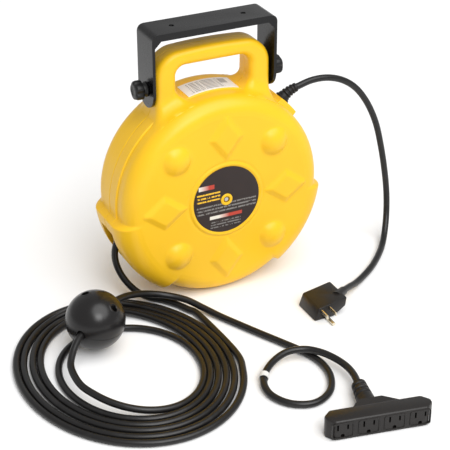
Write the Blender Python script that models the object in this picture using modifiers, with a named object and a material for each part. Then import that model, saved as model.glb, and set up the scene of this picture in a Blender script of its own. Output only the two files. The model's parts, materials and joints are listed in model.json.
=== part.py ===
"""Spring-return extension cord reel, modelled in metres with +Z up.

The reel stands on z = 0 with its drum's axis along Y. Its front face looks towards -Y, and the
output cord, its stop ball and its tap lie on the same floor in front of it and to its left.
"""

from math import acos, cos, degrees, pi, radians, sin

import bmesh
import bpy
import numpy as np
from mathutils import Matrix, Vector

MM = 0.001
GAP = 0.0003  # between pieces that touch

# ---- case
DRUM_R = 0.146
BAND_R = 0.148  # raised band round the middle of the side wall
BAND_HALF = 0.0195
HALF_DEPTH = 0.056
RIM_FILLET = 0.023
WALL = 0.003
AXIS_Z = BAND_R  # the band rests on the floor
LOBE_R = 0.158
LOBE_HALF_DEPTH = 0.052
LOBE_FILLET = 0.026
LOBE_FROM, LOBE_TO = -55.0, -6.0  # degrees from +X, mirrored on the other side
DOME_R, DOME_RISE, DOME_AT = 0.020, 0.009, 0.072
DIAMOND_AT, DIAMOND_LONG, DIAMOND_WIDE, DIAMOND_RISE = 0.0915, 0.031, 0.0235, 0.0045
REAR_BOSS_R = 0.058
LABEL_R, LABEL_THICK = 0.0495, 0.0005
LUG_FROM, LUG_TO, LUG_R, LUG_HALF = 36.0, 49.0, 0.154, 0.022
MOUTH_FROM, MOUTH_TO, MOUTH_HALF = -174.0, -150.5, 0.013

# ---- handle and bracket
HANDLE_HALF_WIDTH = 0.084
HANDLE_HALF_DEPTH = 0.0205
HANDLE_CORNER_R = 0.034
HANDLE_SHOULDER_Z = 0.321
HANDLE_CROWN = 0.004
GRIP_THICK = 0.0225
LEG_WIDE = 0.030
PIVOT_Z = 0.306
STRAP_HALF_WIDTH = 0.025
STRAP_THICK = 0.004
BRACKET_HALF = 0.0904  # outside of a leg
BRACKET_TOP = 0.388
BRACKET_BEND = 0.009
LIP_DEPTH, LIP_THICK, LIP_GUSSET = 0.0095, 0.003, 0.009
HOLE_SPACING, HOLE_R = 0.104, 0.0035
WASHER_THICK, WASHER_R = 0.0018, 0.011
BOLT_R = 0.0039
KNOB_R, KNOB_NECK_R = 0.0135, 0.008
KNOB_NECK, KNOB_LONG = 0.0055, 0.0125
KNOB_LOBES = 5
NUT_R, NUT_THICK = 0.0072, 0.0062

# ---- spool and drive
AXLE_R = 0.008
HUB_R, HUB_WALL = 0.055, 0.0035
SPOOL_HALF = 0.035  # between the flanges
FLANGE_R, FLANGE_THICK = 0.126, 0.003
WINDING_R = 0.089
SPRING_TURNS, SPRING_THICK = 6.5, 0.0009
TEETH, TOOTH_R, ROOT_R = 12, 0.068, 0.058
RATCHET_THICK = 0.0045
PAWL_AT, PAWL_R, PAWL_LONG = 34.0, 0.084, 0.041
PAWL_ENGAGED, PAWL_LIFT = 169.7, 20.0  # degrees: its direction in a tooth, and how far it is held off
RING_RADII = (0.020, 0.029, 0.038)
POST_ANGLES = (20.0, 68.0, 112.0, 160.0, 250.0, 290.0)
POST_AT, POST_R, POST_END = 0.1355, 0.0075, 0.045
SCREW_R, SCREW_HEAD_R = 0.0021, 0.0043

# ---- cords
CORD_R = 0.0047
GLAND_AT = 43.0
BOOT_LONG = 0.024
COIL_AT = (-0.200, -0.187)
COIL_IN_R, COIL_OUT_R, COIL_HIGH, COIL_STRETCH = 0.077, 0.144, 0.0190, 1.100
BALL_R = 0.037
BALL_AT = (-0.217, -0.110, 0.0465)
BALL_AXIS = (0.780, 0.625, 0.030)
BALL_SCREW_AT = 0.0215
TAP_AT = (0.027, -0.418)
TAP_TURN = -11.0
TAP_LONG, TAP_DEEP, TAP_HIGH, TAP_CORNER = 0.137, 0.026, 0.028, 0.0095
THROAT_DEEP = 0.014
OUTLET_PITCH = 0.0331
NECK_LONG, NECK_X = 0.046, -0.003
PLUG_AT = (0.099, -0.155)
PLUG_DEEP = 0.047
BLADE_SPACING, GROUND_DROP = 0.0127, 0.0119
BLADE_LONG, BLADE_WIDE, BLADE_THICK = 0.0175, 0.0063, 0.0015

# Routes of the free cords, end to end
LEAD_ROUTE = (
    (0.1372, 0.000, 0.2675), (0.1600, 0.000, 0.2715), (0.1850, 0.000, 0.2705),
    (0.2100, 0.000, 0.2620), (0.2330, 0.000, 0.2450), (0.2530, 0.000, 0.2180),
    (0.2690, 0.000, 0.1840), (0.2800, 0.000, 0.1450), (0.2880, -0.001, 0.1050),
    (0.2920, -0.004, 0.0680), (0.2890, -0.012, 0.0370), (0.2790, -0.026, 0.0160),
    (0.2630, -0.046, 0.0065), (0.2420, -0.069, 0.0050), (0.2160, -0.093, 0.0050),
    (0.1900, -0.1120, 0.0054), (0.1690, -0.1265, 0.0080), (0.1510, -0.1385, 0.0130),
    (0.1362, -0.1486, 0.0171),
)
NEAR_ROUTE = (
    (-0.0819, 0.000, 0.1941), (-0.1020, 0.000, 0.1590), (-0.1240, 0.000, 0.1200),
    (-0.1400, -0.001, 0.0890), (-0.1455, -0.004, 0.0690), (-0.1430, -0.010, 0.0490),
    (-0.1340, -0.017, 0.0300), (-0.1210, -0.023, 0.0145), (-0.1070, -0.031, 0.0062),
    (-0.0930, -0.043, 0.0050), (-0.0810, -0.060, 0.0050), (-0.0710, -0.081, 0.0050),
    (-0.0635, -0.103, 0.0050), (-0.0605, -0.126, 0.0050),
)
RISE_ROUTE = (
    (-0.2790, -0.1930, 0.0242), (-0.2760, -0.1740, 0.0275), (-0.2680, -0.1570, 0.0340),
    (-0.2570, -0.1440, 0.0410), (-0.2465, -0.1345, 0.0449),
)
FAR_ROUTE = (
    (-0.1875, -0.0865, 0.0474), (-0.1700, -0.0730, 0.0440), (-0.1500, -0.0600, 0.0370),
    (-0.1280, -0.0510, 0.0290), (-0.1060, -0.0500, 0.0220), (-0.0860, -0.0570, 0.0172),
    (-0.0680, -0.0720, 0.0140), (-0.0530, -0.0930, 0.0090), (-0.0390, -0.1180, 0.0056),
    (-0.0260, -0.1440, 0.0050), (-0.0110, -0.1750, 0.0050), (0.0060, -0.2090, 0.0050),
    (0.0220, -0.2430, 0.0050), (0.0300, -0.2750, 0.0050), (0.0250, -0.3070, 0.0050),
    (0.0070, -0.3350, 0.0050), (-0.0210, -0.3470, 0.0050), (-0.0480, -0.3350, 0.0050),
    (-0.0620, -0.3080, 0.0055), (-0.0570, -0.2790, 0.0070), (-0.0360, -0.2560, 0.0100),
    (-0.0080, -0.2450, 0.0140), (0.0170, -0.2500, 0.0152), (0.0340, -0.2660, 0.0150),
    (0.0440, -0.2860, 0.0142), (0.0485, -0.3060, 0.0136), (0.0475, -0.3260, 0.0134),
    (0.0420, -0.3459, 0.0134),
)

SURFACES = {
    "yellow": ((0.93, 0.60, 0.02), 0.42, 0.0),
    "black_paint": ((0.015, 0.015, 0.016), 0.35, 0.2),
    "black_plastic": ((0.02, 0.02, 0.021), 0.45, 0.0),
    "black_jacket": ((0.016, 0.016, 0.017), 0.5, 0.0),
    "soft_black": ((0.03, 0.03, 0.031), 0.6, 0.0),
    "label_black": ((0.03, 0.025, 0.025), 0.3, 0.0),
    "label_silver": ((0.75, 0.76, 0.78), 0.3, 0.3),
    "white_band": ((0.8, 0.8, 0.78), 0.5, 0.0),
    "steel": ((0.55, 0.55, 0.56), 0.35, 1.0),
    "spring_steel": ((0.30, 0.31, 0.34), 0.35, 1.0),
    "brass": ((0.78, 0.60, 0.28), 0.3, 1.0),
    "grey_plastic": ((0.22, 0.22, 0.23), 0.5, 0.0),
    "carbon": ((0.05, 0.05, 0.05), 0.6, 0.3),
}


# ---------------------------------------------------------------- helpers

def clear_scene():
    for item in list(bpy.data.objects):
        bpy.data.objects.remove(item, do_unlink=True)


def collection(name):
    found = bpy.data.collections.new(name)
    bpy.context.scene.collection.children.link(found)
    return found


def surface(name):
    if name in bpy.data.materials:
        return bpy.data.materials[name]
    colour, rough, metal = SURFACES[name]
    made = bpy.data.materials.new(name)
    made.use_nodes = True
    shader = made.node_tree.nodes["Principled BSDF"]
    shader.inputs["Base Color"].default_value = (*colour, 1.0)
    shader.inputs["Roughness"].default_value = rough
    shader.inputs["Metallic"].default_value = metal
    return made


def put(name, data, group, material=None):
    item = bpy.data.objects.new(name, data)
    group.objects.link(item)
    if material:
        data.materials.append(surface(material))
    return item


def as_cutter(item):
    item.hide_render = True
    item.display_type = "WIRE"
    return item


def baked(item, group=None):
    """The object as a plain mesh in world coordinates, with its curve caps and seams welded."""
    bpy.context.view_layer.update()
    shown = item.evaluated_get(bpy.context.evaluated_depsgraph_get())
    mesh = bpy.data.meshes.new_from_object(shown)
    mesh.transform(item.matrix_world)
    work = bmesh.new()
    work.from_mesh(mesh)
    bmesh.ops.remove_doubles(work, verts=work.verts, dist=1e-6)
    bmesh.ops.recalc_face_normals(work, faces=work.faces)
    work.to_mesh(mesh)
    work.free()
    name, home, hidden = item.name, item.users_collection[0], item.hide_render
    bpy.data.objects.remove(item, do_unlink=True)
    made = bpy.data.objects.new(name, mesh)
    (group or home).objects.link(made)
    if hidden:
        as_cutter(made)
    return made


def smooth(item, angle=32):
    item.data.shade_smooth()
    item.data.set_sharp_from_angle(angle=radians(angle))
    return item


def box(name, low, high, group, material=None):
    work = bmesh.new()
    bmesh.ops.create_cube(work, size=1.0)
    low, high = Vector(low), Vector(high)
    for vert in work.verts:
        vert.co = Vector(((low[i] + high[i]) / 2 + vert.co[i] * (high[i] - low[i]) for i in range(3)))
    mesh = bpy.data.meshes.new(name)
    work.to_mesh(mesh)
    work.free()
    return put(name, mesh, group, material)


def aim(direction):
    """A rotation that turns +Z to the direction."""
    return Vector(direction).to_track_quat("Z", "Y").to_matrix().to_4x4()


def rod(name, start, end, radius, group, material=None, sides=24, end_radius=None):
    """A cylinder or cone between two points."""
    start, end = Vector(start), Vector(end)
    work = bmesh.new()
    bmesh.ops.create_cone(
        work, cap_ends=True, segments=sides, radius1=radius,
        radius2=radius if end_radius is None else end_radius, depth=(end - start).length,
    )
    mesh = bpy.data.meshes.new(name)
    work.to_mesh(mesh)
    work.free()
    mesh.transform(Matrix.Translation((start + end) / 2) @ aim(end - start))
    return put(name, mesh, group, material)


def turned(name, profile, group, material=None, steps=48, closed=False, at=(0, 0, 0), along=(0, 1, 0)):
    """A profile of (radius, height) points, top to bottom on its outer side, spun about its axis."""
    mesh = bpy.data.meshes.new(name)
    points = [(r, 0.0, h) for r, h in profile]
    edges = [(i, i + 1) for i in range(len(points) - 1)]
    if closed:
        edges.append((len(points) - 1, 0))
    mesh.from_pydata(points, edges, [])
    item = put(name, mesh, group, material)
    screw = item.modifiers.new("spin", "SCREW")
    screw.steps = steps
    screw.render_steps = steps
    screw.use_merge_vertices = True
    screw.merge_threshold = 1e-6
    item = baked(item)
    item.data.transform(Matrix.Translation(at) @ aim(along))
    if material:
        item.data.materials.clear()
        item.data.materials.append(surface(material))
    return smooth(item)


def plate(name, outline, half, group, material=None, holes=(), place=None):
    """A flat outline in X and Z, thick in Y by twice half, with holes."""
    curve = bpy.data.curves.new(name, "CURVE")
    curve.dimensions = "2D"
    curve.fill_mode = "BOTH"
    curve.extrude = half
    for ring in (outline, *holes):
        spline = curve.splines.new("POLY")
        spline.points.add(len(ring) - 1)
        for point, (x, z) in zip(spline.points, ring):
            point.co = (x, z, 0, 1)
        spline.use_cyclic_u = True
    item = put(name, curve, group, material)
    item.matrix_world = Matrix.Rotation(pi / 2, 4, "X")
    item = baked(item, group)
    if place:
        item.data.transform(place)
    return item


def arc(centre, radius, first, last, count):
    """Points of an arc in degrees, ends included."""
    turns = np.radians(np.linspace(first, last, count))
    return [(centre[0] + radius * cos(t), centre[1] + radius * sin(t)) for t in turns]


def smooth_route(route, spacing):
    """Evenly spaced points on the smooth curve through a route."""
    knots = np.array(route)
    steps = np.linalg.norm(np.diff(knots, axis=0), axis=1) ** 0.5
    at = np.concatenate([[0], np.cumsum(steps)])
    slopes = np.gradient(knots, at, axis=0, edge_order=2)
    fine = np.linspace(0, at[-1], 40 * len(knots))
    left = np.clip(np.searchsorted(at, fine, side="right") - 1, 0, len(at) - 2)
    width = (at[left + 1] - at[left])[:, None]
    t = ((fine - at[left])[:, None]) / width
    curve = (
        (2 * t**3 - 3 * t**2 + 1) * knots[left] + (t**3 - 2 * t**2 + t) * width * slopes[left]
        + (3 * t**2 - 2 * t**3) * knots[left + 1] + (t**3 - t**2) * width * slopes[left + 1]
    )
    run = np.concatenate([[0], np.cumsum(np.linalg.norm(np.diff(curve, axis=0), axis=1))])
    count = max(3, round(run[-1] / spacing) + 1)
    wanted = np.linspace(0, run[-1], count)
    return [tuple(np.interp(w, run, curve[:, k]) for k in range(3)) for w in wanted]


def tube(name, points, radius, group, material=None, detail=2, radii=None):
    curve = bpy.data.curves.new(name, "CURVE")
    curve.dimensions = "3D"
    curve.bevel_depth = radius
    curve.bevel_resolution = detail
    curve.use_fill_caps = True
    spline = curve.splines.new("POLY")
    spline.points.add(len(points) - 1)
    for i, co in enumerate(points):
        spline.points[i].co = (*co, 1)
        spline.points[i].radius = radii[i] if radii is not None else 1.0
    item = baked(put(name, curve, group))
    if material:
        item.data.materials.clear()
        item.data.materials.append(surface(material))
    return smooth(item, 50)


def combine(item, others, how):
    for other in others:
        step = item.modifiers.new(how.lower(), "BOOLEAN")
        step.operation = how
        step.solver = "EXACT"
        step.object = other
    return item


def finished(item, material, angle=32):
    """Boolean steps applied, one material, smooth shading."""
    item = baked(item)
    item.data.materials.clear()
    item.data.materials.append(surface(material))
    return smooth(item, angle)


def polar(angle, radius, y=0.0):
    """A point on the drum, by its angle from +X in degrees."""
    return Vector((radius * cos(radians(angle)), y, AXIS_Z + radius * sin(radians(angle))))


def rounded(item, width, segments=2, angle=40):
    bevel = item.modifiers.new("edges", "BEVEL")
    bevel.width = width
    bevel.segments = segments
    bevel.limit_method = "ANGLE"
    bevel.angle_limit = radians(angle)
    return item


# ---------------------------------------------------------------- case

def half_profile(radius, half, fillet, count, band=0.0):
    """The drum's outer profile, rear centre to front centre, with a raised band."""
    corner = arc((radius - fillet, half - fillet), fillet, 90, 0, count)
    upper = [(0.0, half)] + corner
    if band:
        upper += [(radius, BAND_HALF + 0.001), (radius + band, BAND_HALF)]
    return upper + [(r, -h) for r, h in reversed(upper)]


def sector(first, last, inner, outer, count=9):
    out = arc((0, AXIS_Z), outer, first, last, count)
    back = arc((0, AXIS_Z), inner, last, first, 4)
    return out + back


def handle_outline(inset):
    """Outside of the handle, from its left foot round the crown to its right foot."""
    wide = HANDLE_HALF_WIDTH - inset
    corner = HANDLE_CORNER_R - inset
    middle = HANDLE_HALF_WIDTH - HANDLE_CORNER_R
    foot = AXIS_Z + 0.085
    left = arc((-middle, HANDLE_SHOULDER_Z), corner, 180, 98, 7)
    right = arc((middle, HANDLE_SHOULDER_Z), corner, 82, 0, 7)
    top = HANDLE_SHOULDER_Z + corner + HANDLE_CROWN
    crown = [(-0.022, top - 0.0009), (0.0, top), (0.022, top - 0.0009)]
    return [(-wide, foot)] + left + crown + right + [(wide, foot)]


def opening_outline(inset):
    """The hand hole, which runs down past the top of the drum."""
    wide = HANDLE_HALF_WIDTH - LEG_WIDE + inset
    top = HANDLE_SHOULDER_Z + HANDLE_CORNER_R + HANDLE_CROWN - GRIP_THICK + inset
    corner = 0.014
    left = arc((-wide + corner, top - corner - 0.004), corner, 180, 100, 5)
    right = arc((wide - corner, top - corner - 0.004), corner, 80, 0, 5)
    foot = AXIS_Z + 0.085
    return [(-wide, foot)] + left + [(0.0, top)] + right + [(wide, foot)]


def handle_solid(name, inset, group):
    half = HANDLE_HALF_DEPTH - inset
    outer = handle_outline(inset)
    hole = opening_outline(-inset)
    body = plate(name, outer + list(reversed(hole)), half, group)
    if not inset:
        body = baked(rounded(body, 0.0075, 2, 60))
    return as_cutter(body)


def lobes(name, radius, half, fillet, inset, group):
    """Both rim lobes: the ring of a larger drum, kept only between the lobes' ends."""
    ring = turned(name, half_profile(radius, half, fillet, 4), group, steps=48, at=(0, 0, AXIS_Z))
    edge = degrees(inset / radius)
    wedges = []
    for side, (first, last) in enumerate(((LOBE_FROM, LOBE_TO), (180 - LOBE_TO, 180 - LOBE_FROM))):
        outline = sector(first + edge, last - edge, 0.110, radius + 0.02)
        wedges.append(as_cutter(plate(f"{name}_wedge{side}", outline, half + 0.01, group)))
    kept = []
    for wedge in wedges:
        part = put(f"{wedge.name}_kept", ring.data.copy(), group)
        kept.append(as_cutter(baked(combine(part, [wedge], "INTERSECT"))))
    bpy.data.objects.remove(ring, do_unlink=True)
    return kept


def case_solid(cutters):
    """The whole case, hollow, before it is split into its halves."""
    body = turned("case", half_profile(DRUM_R, HALF_DEPTH, RIM_FILLET, 4, BAND_R - DRUM_R), cutters,
                  steps=48)
    # turned a little, so that no facet's edge meets a corner of what is joined to it
    body.data.transform(Matrix.Translation((0, 0, AXIS_Z)) @ Matrix.Rotation(radians(1.7), 4, "Y"))
    add = [handle_solid("handle_outside", 0.0, cutters)]
    for lobe in lobes("lobes", LOBE_R, LOBE_HALF_DEPTH, LOBE_FILLET, 0.0, cutters):
        add.append(lobe)
    add.append(as_cutter(plate("lug", sector(LUG_FROM, LUG_TO, 0.140, LUG_R, 4), LUG_HALF, cutters)))
    for i, (sx, sz) in enumerate(((-1, 1), (1, 1), (-1, -1), (1, -1))):
        ball = (DOME_R**2 + DOME_RISE**2) / (2 * DOME_RISE)
        work = bmesh.new()
        bmesh.ops.create_uvsphere(work, u_segments=18, v_segments=14, radius=ball)
        mesh = bpy.data.meshes.new(f"dome_{i}")
        work.to_mesh(mesh)
        work.free()
        centre = (sx * DOME_AT, -HALF_DEPTH - DOME_RISE + ball, AXIS_Z + sz * DOME_AT)
        mesh.transform(Matrix.Translation(centre) @ aim((0, 1, 0)))
        dome = as_cutter(put(mesh.name, mesh, cutters))
        keep = as_cutter(box(f"dome_keep_{i}", (-1, -1, -1), (1, -HALF_DEPTH + 0.0015, 1), cutters))
        add.append(as_cutter(baked(combine(dome, [keep], "INTERSECT"))))
    for i, angle in enumerate((90, 0, 180, 270)):
        work = bmesh.new()
        bmesh.ops.create_cone(
            work, cap_ends=True, segments=4, radius1=1.0, radius2=0.62, depth=DIAMOND_RISE + 0.0015
        )
        mesh = bpy.data.meshes.new(f"diamond_{i}")
        work.to_mesh(mesh)
        work.free()
        size = Matrix.Diagonal((DIAMOND_LONG, DIAMOND_WIDE, 1, 1))
        middle = -HALF_DEPTH - DIAMOND_RISE / 2 + 0.0015 / 2
        lift = Matrix.Translation((DIAMOND_AT, 0, 0))
        mesh.transform(
            Matrix.Translation((0, middle, AXIS_Z)) @ Matrix.Rotation(pi / 2, 4, "X")
            @ Matrix.Rotation(radians(angle), 4, "Z") @ lift @ size
        )
        add.append(as_cutter(put(mesh.name, mesh, cutters)))
    rear = [(0.0, DOME_RISE + 0.002), (REAR_BOSS_R - 0.006, DOME_RISE + 0.002), (REAR_BOSS_R, 0.005),
            (REAR_BOSS_R, 0.0), (0.0, 0.0)]
    add.append(as_cutter(turned("rear_boss", rear, cutters, at=(0, HALF_DEPTH - 0.002, AXIS_Z))))
    rim = [(LABEL_R + 0.004, 0.0025), (LABEL_R + 0.005, 0.0), (LABEL_R + 0.0006, 0.0),
           (LABEL_R + 0.0006, 0.0025)]
    add.append(as_cutter(
        turned("label_rim", rim, cutters, closed=True, at=(0, -HALF_DEPTH + 0.0015, AXIS_Z),
               along=(0, -1, 0))
    ))
    combine(body, add, "UNION")
    body = as_cutter(baked(body))

    inner = half_profile(DRUM_R - WALL, HALF_DEPTH - WALL, RIM_FILLET - WALL, 3)
    cavity = turned("cavity", inner, cutters, steps=40)
    cavity.data.transform(Matrix.Translation((0, 0, AXIS_Z)) @ Matrix.Rotation(radians(2.3), 4, "Y"))
    hollow = [handle_solid("handle_inside", WALL, cutters)]
    hollow += lobes("lobe_inside", LOBE_R - WALL, LOBE_HALF_DEPTH - WALL, LOBE_FILLET - WALL, WALL, cutters)
    combine(cavity, hollow, "UNION")
    cavity = as_cutter(baked(cavity))
    return body, cavity


def case_halves(parts, cutters):
    body, cavity = case_solid(cutters)
    combine(body, [cavity], "DIFFERENCE")
    body = as_cutter(baked(body))
    shared = []
    shared.append(as_cutter(plate("mouth", sector(MOUTH_FROM, MOUTH_TO, 0.138, 0.172, 6), MOUTH_HALF,
                                  cutters)))
    shared.append(as_cutter(rod("lead_hole", polar(GLAND_AT, 0.135), polar(GLAND_AT, 0.165), 0.0062,
                                cutters)))
    shared.append(as_cutter(
        rod("pivot_hole", (-0.1, 0, PIVOT_Z), (0.1, 0, PIVOT_Z), BOLT_R + GAP, cutters, sides=16)
    ))
    for name, side in (("front_shell", -1), ("rear_shell", 1)):
        shell = put(name, body.data.copy(), parts)
        low, high = sorted((side * GAP / 2, side * 0.2))
        keep = as_cutter(box(f"{name}_side", (-0.3, low, -0.1), (0.3, high, 0.5), cutters))
        combine(shell, [keep], "INTERSECT")
        combine(shell, shared, "DIFFERENCE")
        posts, holes = [], []
        for i, angle in enumerate(POST_ANGLES):
            near = polar(angle, POST_AT, side * (GAP / 2))
            far = polar(angle, POST_AT, side * POST_END)
            posts.append(as_cutter(rod(f"{name}_post{i}", near, far, POST_R, cutters, sides=12)))
            if side < 0:
                deep = polar(angle, POST_AT, -0.022)
                holes.append(as_cutter(rod(f"{name}_pilot{i}", polar(angle, POST_AT, 0.01), deep,
                                           SCREW_R + GAP,
                                           cutters, sides=8)))
            else:
                holes.append(as_cutter(rod(f"{name}_screw{i}", polar(angle, POST_AT, -0.01),
                                           polar(angle, POST_AT, 0.07), SCREW_R + GAP, cutters, sides=8)))
                holes.append(as_cutter(rod(f"{name}_sink{i}", polar(angle, POST_AT, 0.038),
                                           polar(angle, POST_AT, 0.07), SCREW_HEAD_R + GAP, cutters,
                                           sides=12)))
        cup = [(0.013, 0.010), (0.013, 0.0), (AXLE_R + GAP, 0.0), (AXLE_R + GAP, 0.010)]
        posts.append(as_cutter(turned(
            f"{name}_cup", cup, cutters, closed=True, steps=24,
            at=(0, side * (HALF_DEPTH - WALL + 0.001), AXIS_Z),
            along=(0, -side, 0),
        )))
        if side < 0:
            pin = polar(PAWL_AT, PAWL_R)
            posts.append(as_cutter(rod(f"{name}_pawl_post", (pin.x, -HALF_DEPTH + 0.002, pin.z),
                                       (pin.x, -0.0483, pin.z), 0.006, cutters, sides=16)))
        holes.append(as_cutter(rod(f"{name}_axle_hole", (0, side * 0.045, AXIS_Z), (0, side * 0.075, AXIS_Z),
                                   0.0032, cutters, sides=16)))
        combine(shell, posts, "UNION")
        combine(shell, holes, "DIFFERENCE")
        finished(shell, "yellow")


def labels(parts, cutters):
    disc = [(LABEL_R, LABEL_THICK), (LABEL_R, 0.0), (0.0075, 0.0), (0.0075, LABEL_THICK)]
    turned("front_label", disc, parts, "label_black", closed=True, steps=48,
           at=(0, -HALF_DEPTH - GAP, AXIS_Z), along=(0, -1, 0))
    out = arc((0, AXIS_Z), BAND_R + 0.0008, 76.8, 103.2, 9)
    back = arc((0, AXIS_Z), BAND_R + GAP, 103.2, 76.8, 9)
    top = plate("top_label", out + back, 0.0185, parts, "label_silver")
    finished(top, "label_silver")


def case_screws(parts, cutters):
    for i, angle in enumerate(POST_ANGLES):
        shank = rod(f"case_screw_{i + 1}", polar(angle, POST_AT, -0.018), polar(angle, POST_AT, 0.0386),
                    SCREW_R, parts, sides=8)
        head = as_cutter(rod(f"case_screw_head_{i}", polar(angle, POST_AT, 0.0383),
                             polar(angle, POST_AT, 0.0410),
                             SCREW_HEAD_R, cutters, sides=10, end_radius=0.0036))
        finished(combine(shank, [head], "UNION"), "steel")
    for name, side in (("axle_screw_front", -1), ("axle_screw_rear", 1)):
        out = HALF_DEPTH if side < 0 else HALF_DEPTH + DOME_RISE
        start = (0, side * (out - 0.0035), AXIS_Z)
        rod(name, start, (0, side * (out + 0.0002), AXIS_Z), 0.0029, parts, "steel", sides=16)


# ---------------------------------------------------------------- bracket and its pivots

def bracket(parts, cutters):
    """A strap bent to a U, lipped along both long edges, that hangs the reel from the ceiling."""
    inner = BRACKET_HALF - STRAP_THICK
    under = BRACKET_TOP - STRAP_THICK
    foot = PIVOT_Z - STRAP_HALF_WIDTH
    bend = BRACKET_BEND
    outside = arc((-BRACKET_HALF + bend, BRACKET_TOP - bend), bend, 180, 90, 5)
    outside += arc((BRACKET_HALF - bend, BRACKET_TOP - bend), bend, 90, 0, 5)
    small = bend - STRAP_THICK
    inside = arc((inner - small, under - small), small, 0, 90, 4)
    inside += arc((-inner + small, under - small), small, 90, 180, 4)
    outline = [(-BRACKET_HALF, foot)] + outside + [(BRACKET_HALF, foot), (inner, foot)] + inside
    outline += [(-inner, foot)]
    strap = plate("bracket", outline, STRAP_HALF_WIDTH, parts)
    low = BRACKET_TOP - LIP_DEPTH
    lip = [(-inner - 0.001, under + 0.001), (inner + 0.001, under + 0.001),
           (inner + 0.001, low - LIP_GUSSET),
           (inner, low - LIP_GUSSET), (inner - LIP_GUSSET, low), (-inner + LIP_GUSSET, low),
           (-inner, low - LIP_GUSSET), (-inner - 0.001, low - LIP_GUSSET)]
    lips = []
    for i, side in enumerate((-1, 1)):
        middle = side * (STRAP_HALF_WIDTH - LIP_THICK / 2)
        place = Matrix.Translation((0, middle, 0))
        lips.append(as_cutter(plate(f"lip_{i}", lip, LIP_THICK / 2, cutters, place=place)))
    combine(strap, lips, "UNION")
    ends = []
    for side in (-1, 1):
        square = as_cutter(box(f"leg_end_{side}", (side * 0.1 - 0.03, -0.04, foot - 0.01),
                               (side * 0.1 + 0.03, 0.04, PIVOT_Z), cutters))
        disc = as_cutter(rod(f"leg_round_{side}", (side * 0.06, 0, PIVOT_Z), (side * 0.14, 0, PIVOT_Z),
                             STRAP_HALF_WIDTH, cutters, sides=40))
        ends.append(as_cutter(baked(combine(square, [disc], "DIFFERENCE"))))
    holes = [as_cutter(rod("pivot_clear", (-0.12, 0, PIVOT_Z), (0.12, 0, PIVOT_Z), BOLT_R + GAP,
                           cutters, sides=20))]
    for side in (-1, 1):
        x = side * HOLE_SPACING / 2
        holes.append(as_cutter(rod(f"mount_hole_{side}", (x, 0, under - 0.01), (x, 0, BRACKET_TOP + 0.01),
                                   HOLE_R, cutters, sides=24)))
    combine(strap, ends + holes, "DIFFERENCE")
    finished(strap, "black_paint")


def pivots(parts, cutters):
    for name, side in (("left", -1), ("right", 1)):
        wall = side * (HANDLE_HALF_WIDTH + GAP)
        washer = [(WASHER_R, WASHER_THICK), (WASHER_R, 0.0), (BOLT_R + GAP, 0.0),
                  (BOLT_R + GAP, WASHER_THICK)]
        turned(f"{name}_pivot_washer", washer, parts, "soft_black", closed=True, steps=16,
               at=(wall, 0, PIVOT_Z), along=(side, 0, 0))
        start = side * (BRACKET_HALF + GAP)
        knob = turned(f"{name}_knob", [
            (0.0, KNOB_NECK + KNOB_LONG), (KNOB_R - 0.003, KNOB_NECK + KNOB_LONG),
            (KNOB_R, KNOB_NECK + KNOB_LONG - 0.003), (KNOB_R, KNOB_NECK + 0.002),
            (KNOB_NECK_R + 0.001, KNOB_NECK), (KNOB_NECK_R, 0.003), (KNOB_NECK_R + 0.0025, 0.0), (0.0, 0.0),
        ], parts, steps=30, at=(start, 0, PIVOT_Z), along=(side, 0, 0))
        cuts = []
        for i in range(KNOB_LOBES):
            angle = 2 * pi * (i + 0.5) / KNOB_LOBES
            y, z = 0.0175 * cos(angle), PIVOT_Z + 0.0175 * sin(angle)
            cuts.append(as_cutter(rod(f"{name}_flute{i}", (start + side * KNOB_NECK * 0.8, y, z),
                                      (start + side * 0.05, y, z), 0.0065, cutters, sides=14)))
        cuts.append(as_cutter(rod(f"{name}_bolt_room", (side * 0.07, 0, PIVOT_Z),
                                  (start + side * 0.014, 0, PIVOT_Z),
                                  BOLT_R + GAP, cutters, sides=16)))
        finished(combine(knob, cuts, "DIFFERENCE"), "black_plastic")
        rod(f"{name}_pivot_bolt", (side * 0.072, 0, PIVOT_Z), (start + side * 0.0137, 0, PIVOT_Z),
            BOLT_R, parts, "steel", sides=16)
        face = HANDLE_HALF_WIDTH - WALL - GAP
        nut = rod(f"{name}_pivot_nut", (side * (face - NUT_THICK), 0, PIVOT_Z), (side * face, 0, PIVOT_Z),
                  NUT_R, parts, sides=6)
        bore = as_cutter(rod(f"{name}_nut_bore", (side * 0.06, 0, PIVOT_Z), (side * 0.09, 0, PIVOT_Z),
                             BOLT_R + GAP, cutters, sides=16))
        finished(combine(nut, [bore], "DIFFERENCE"), "steel")


# ---------------------------------------------------------------- spool, spring, contacts, ratchet

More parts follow.
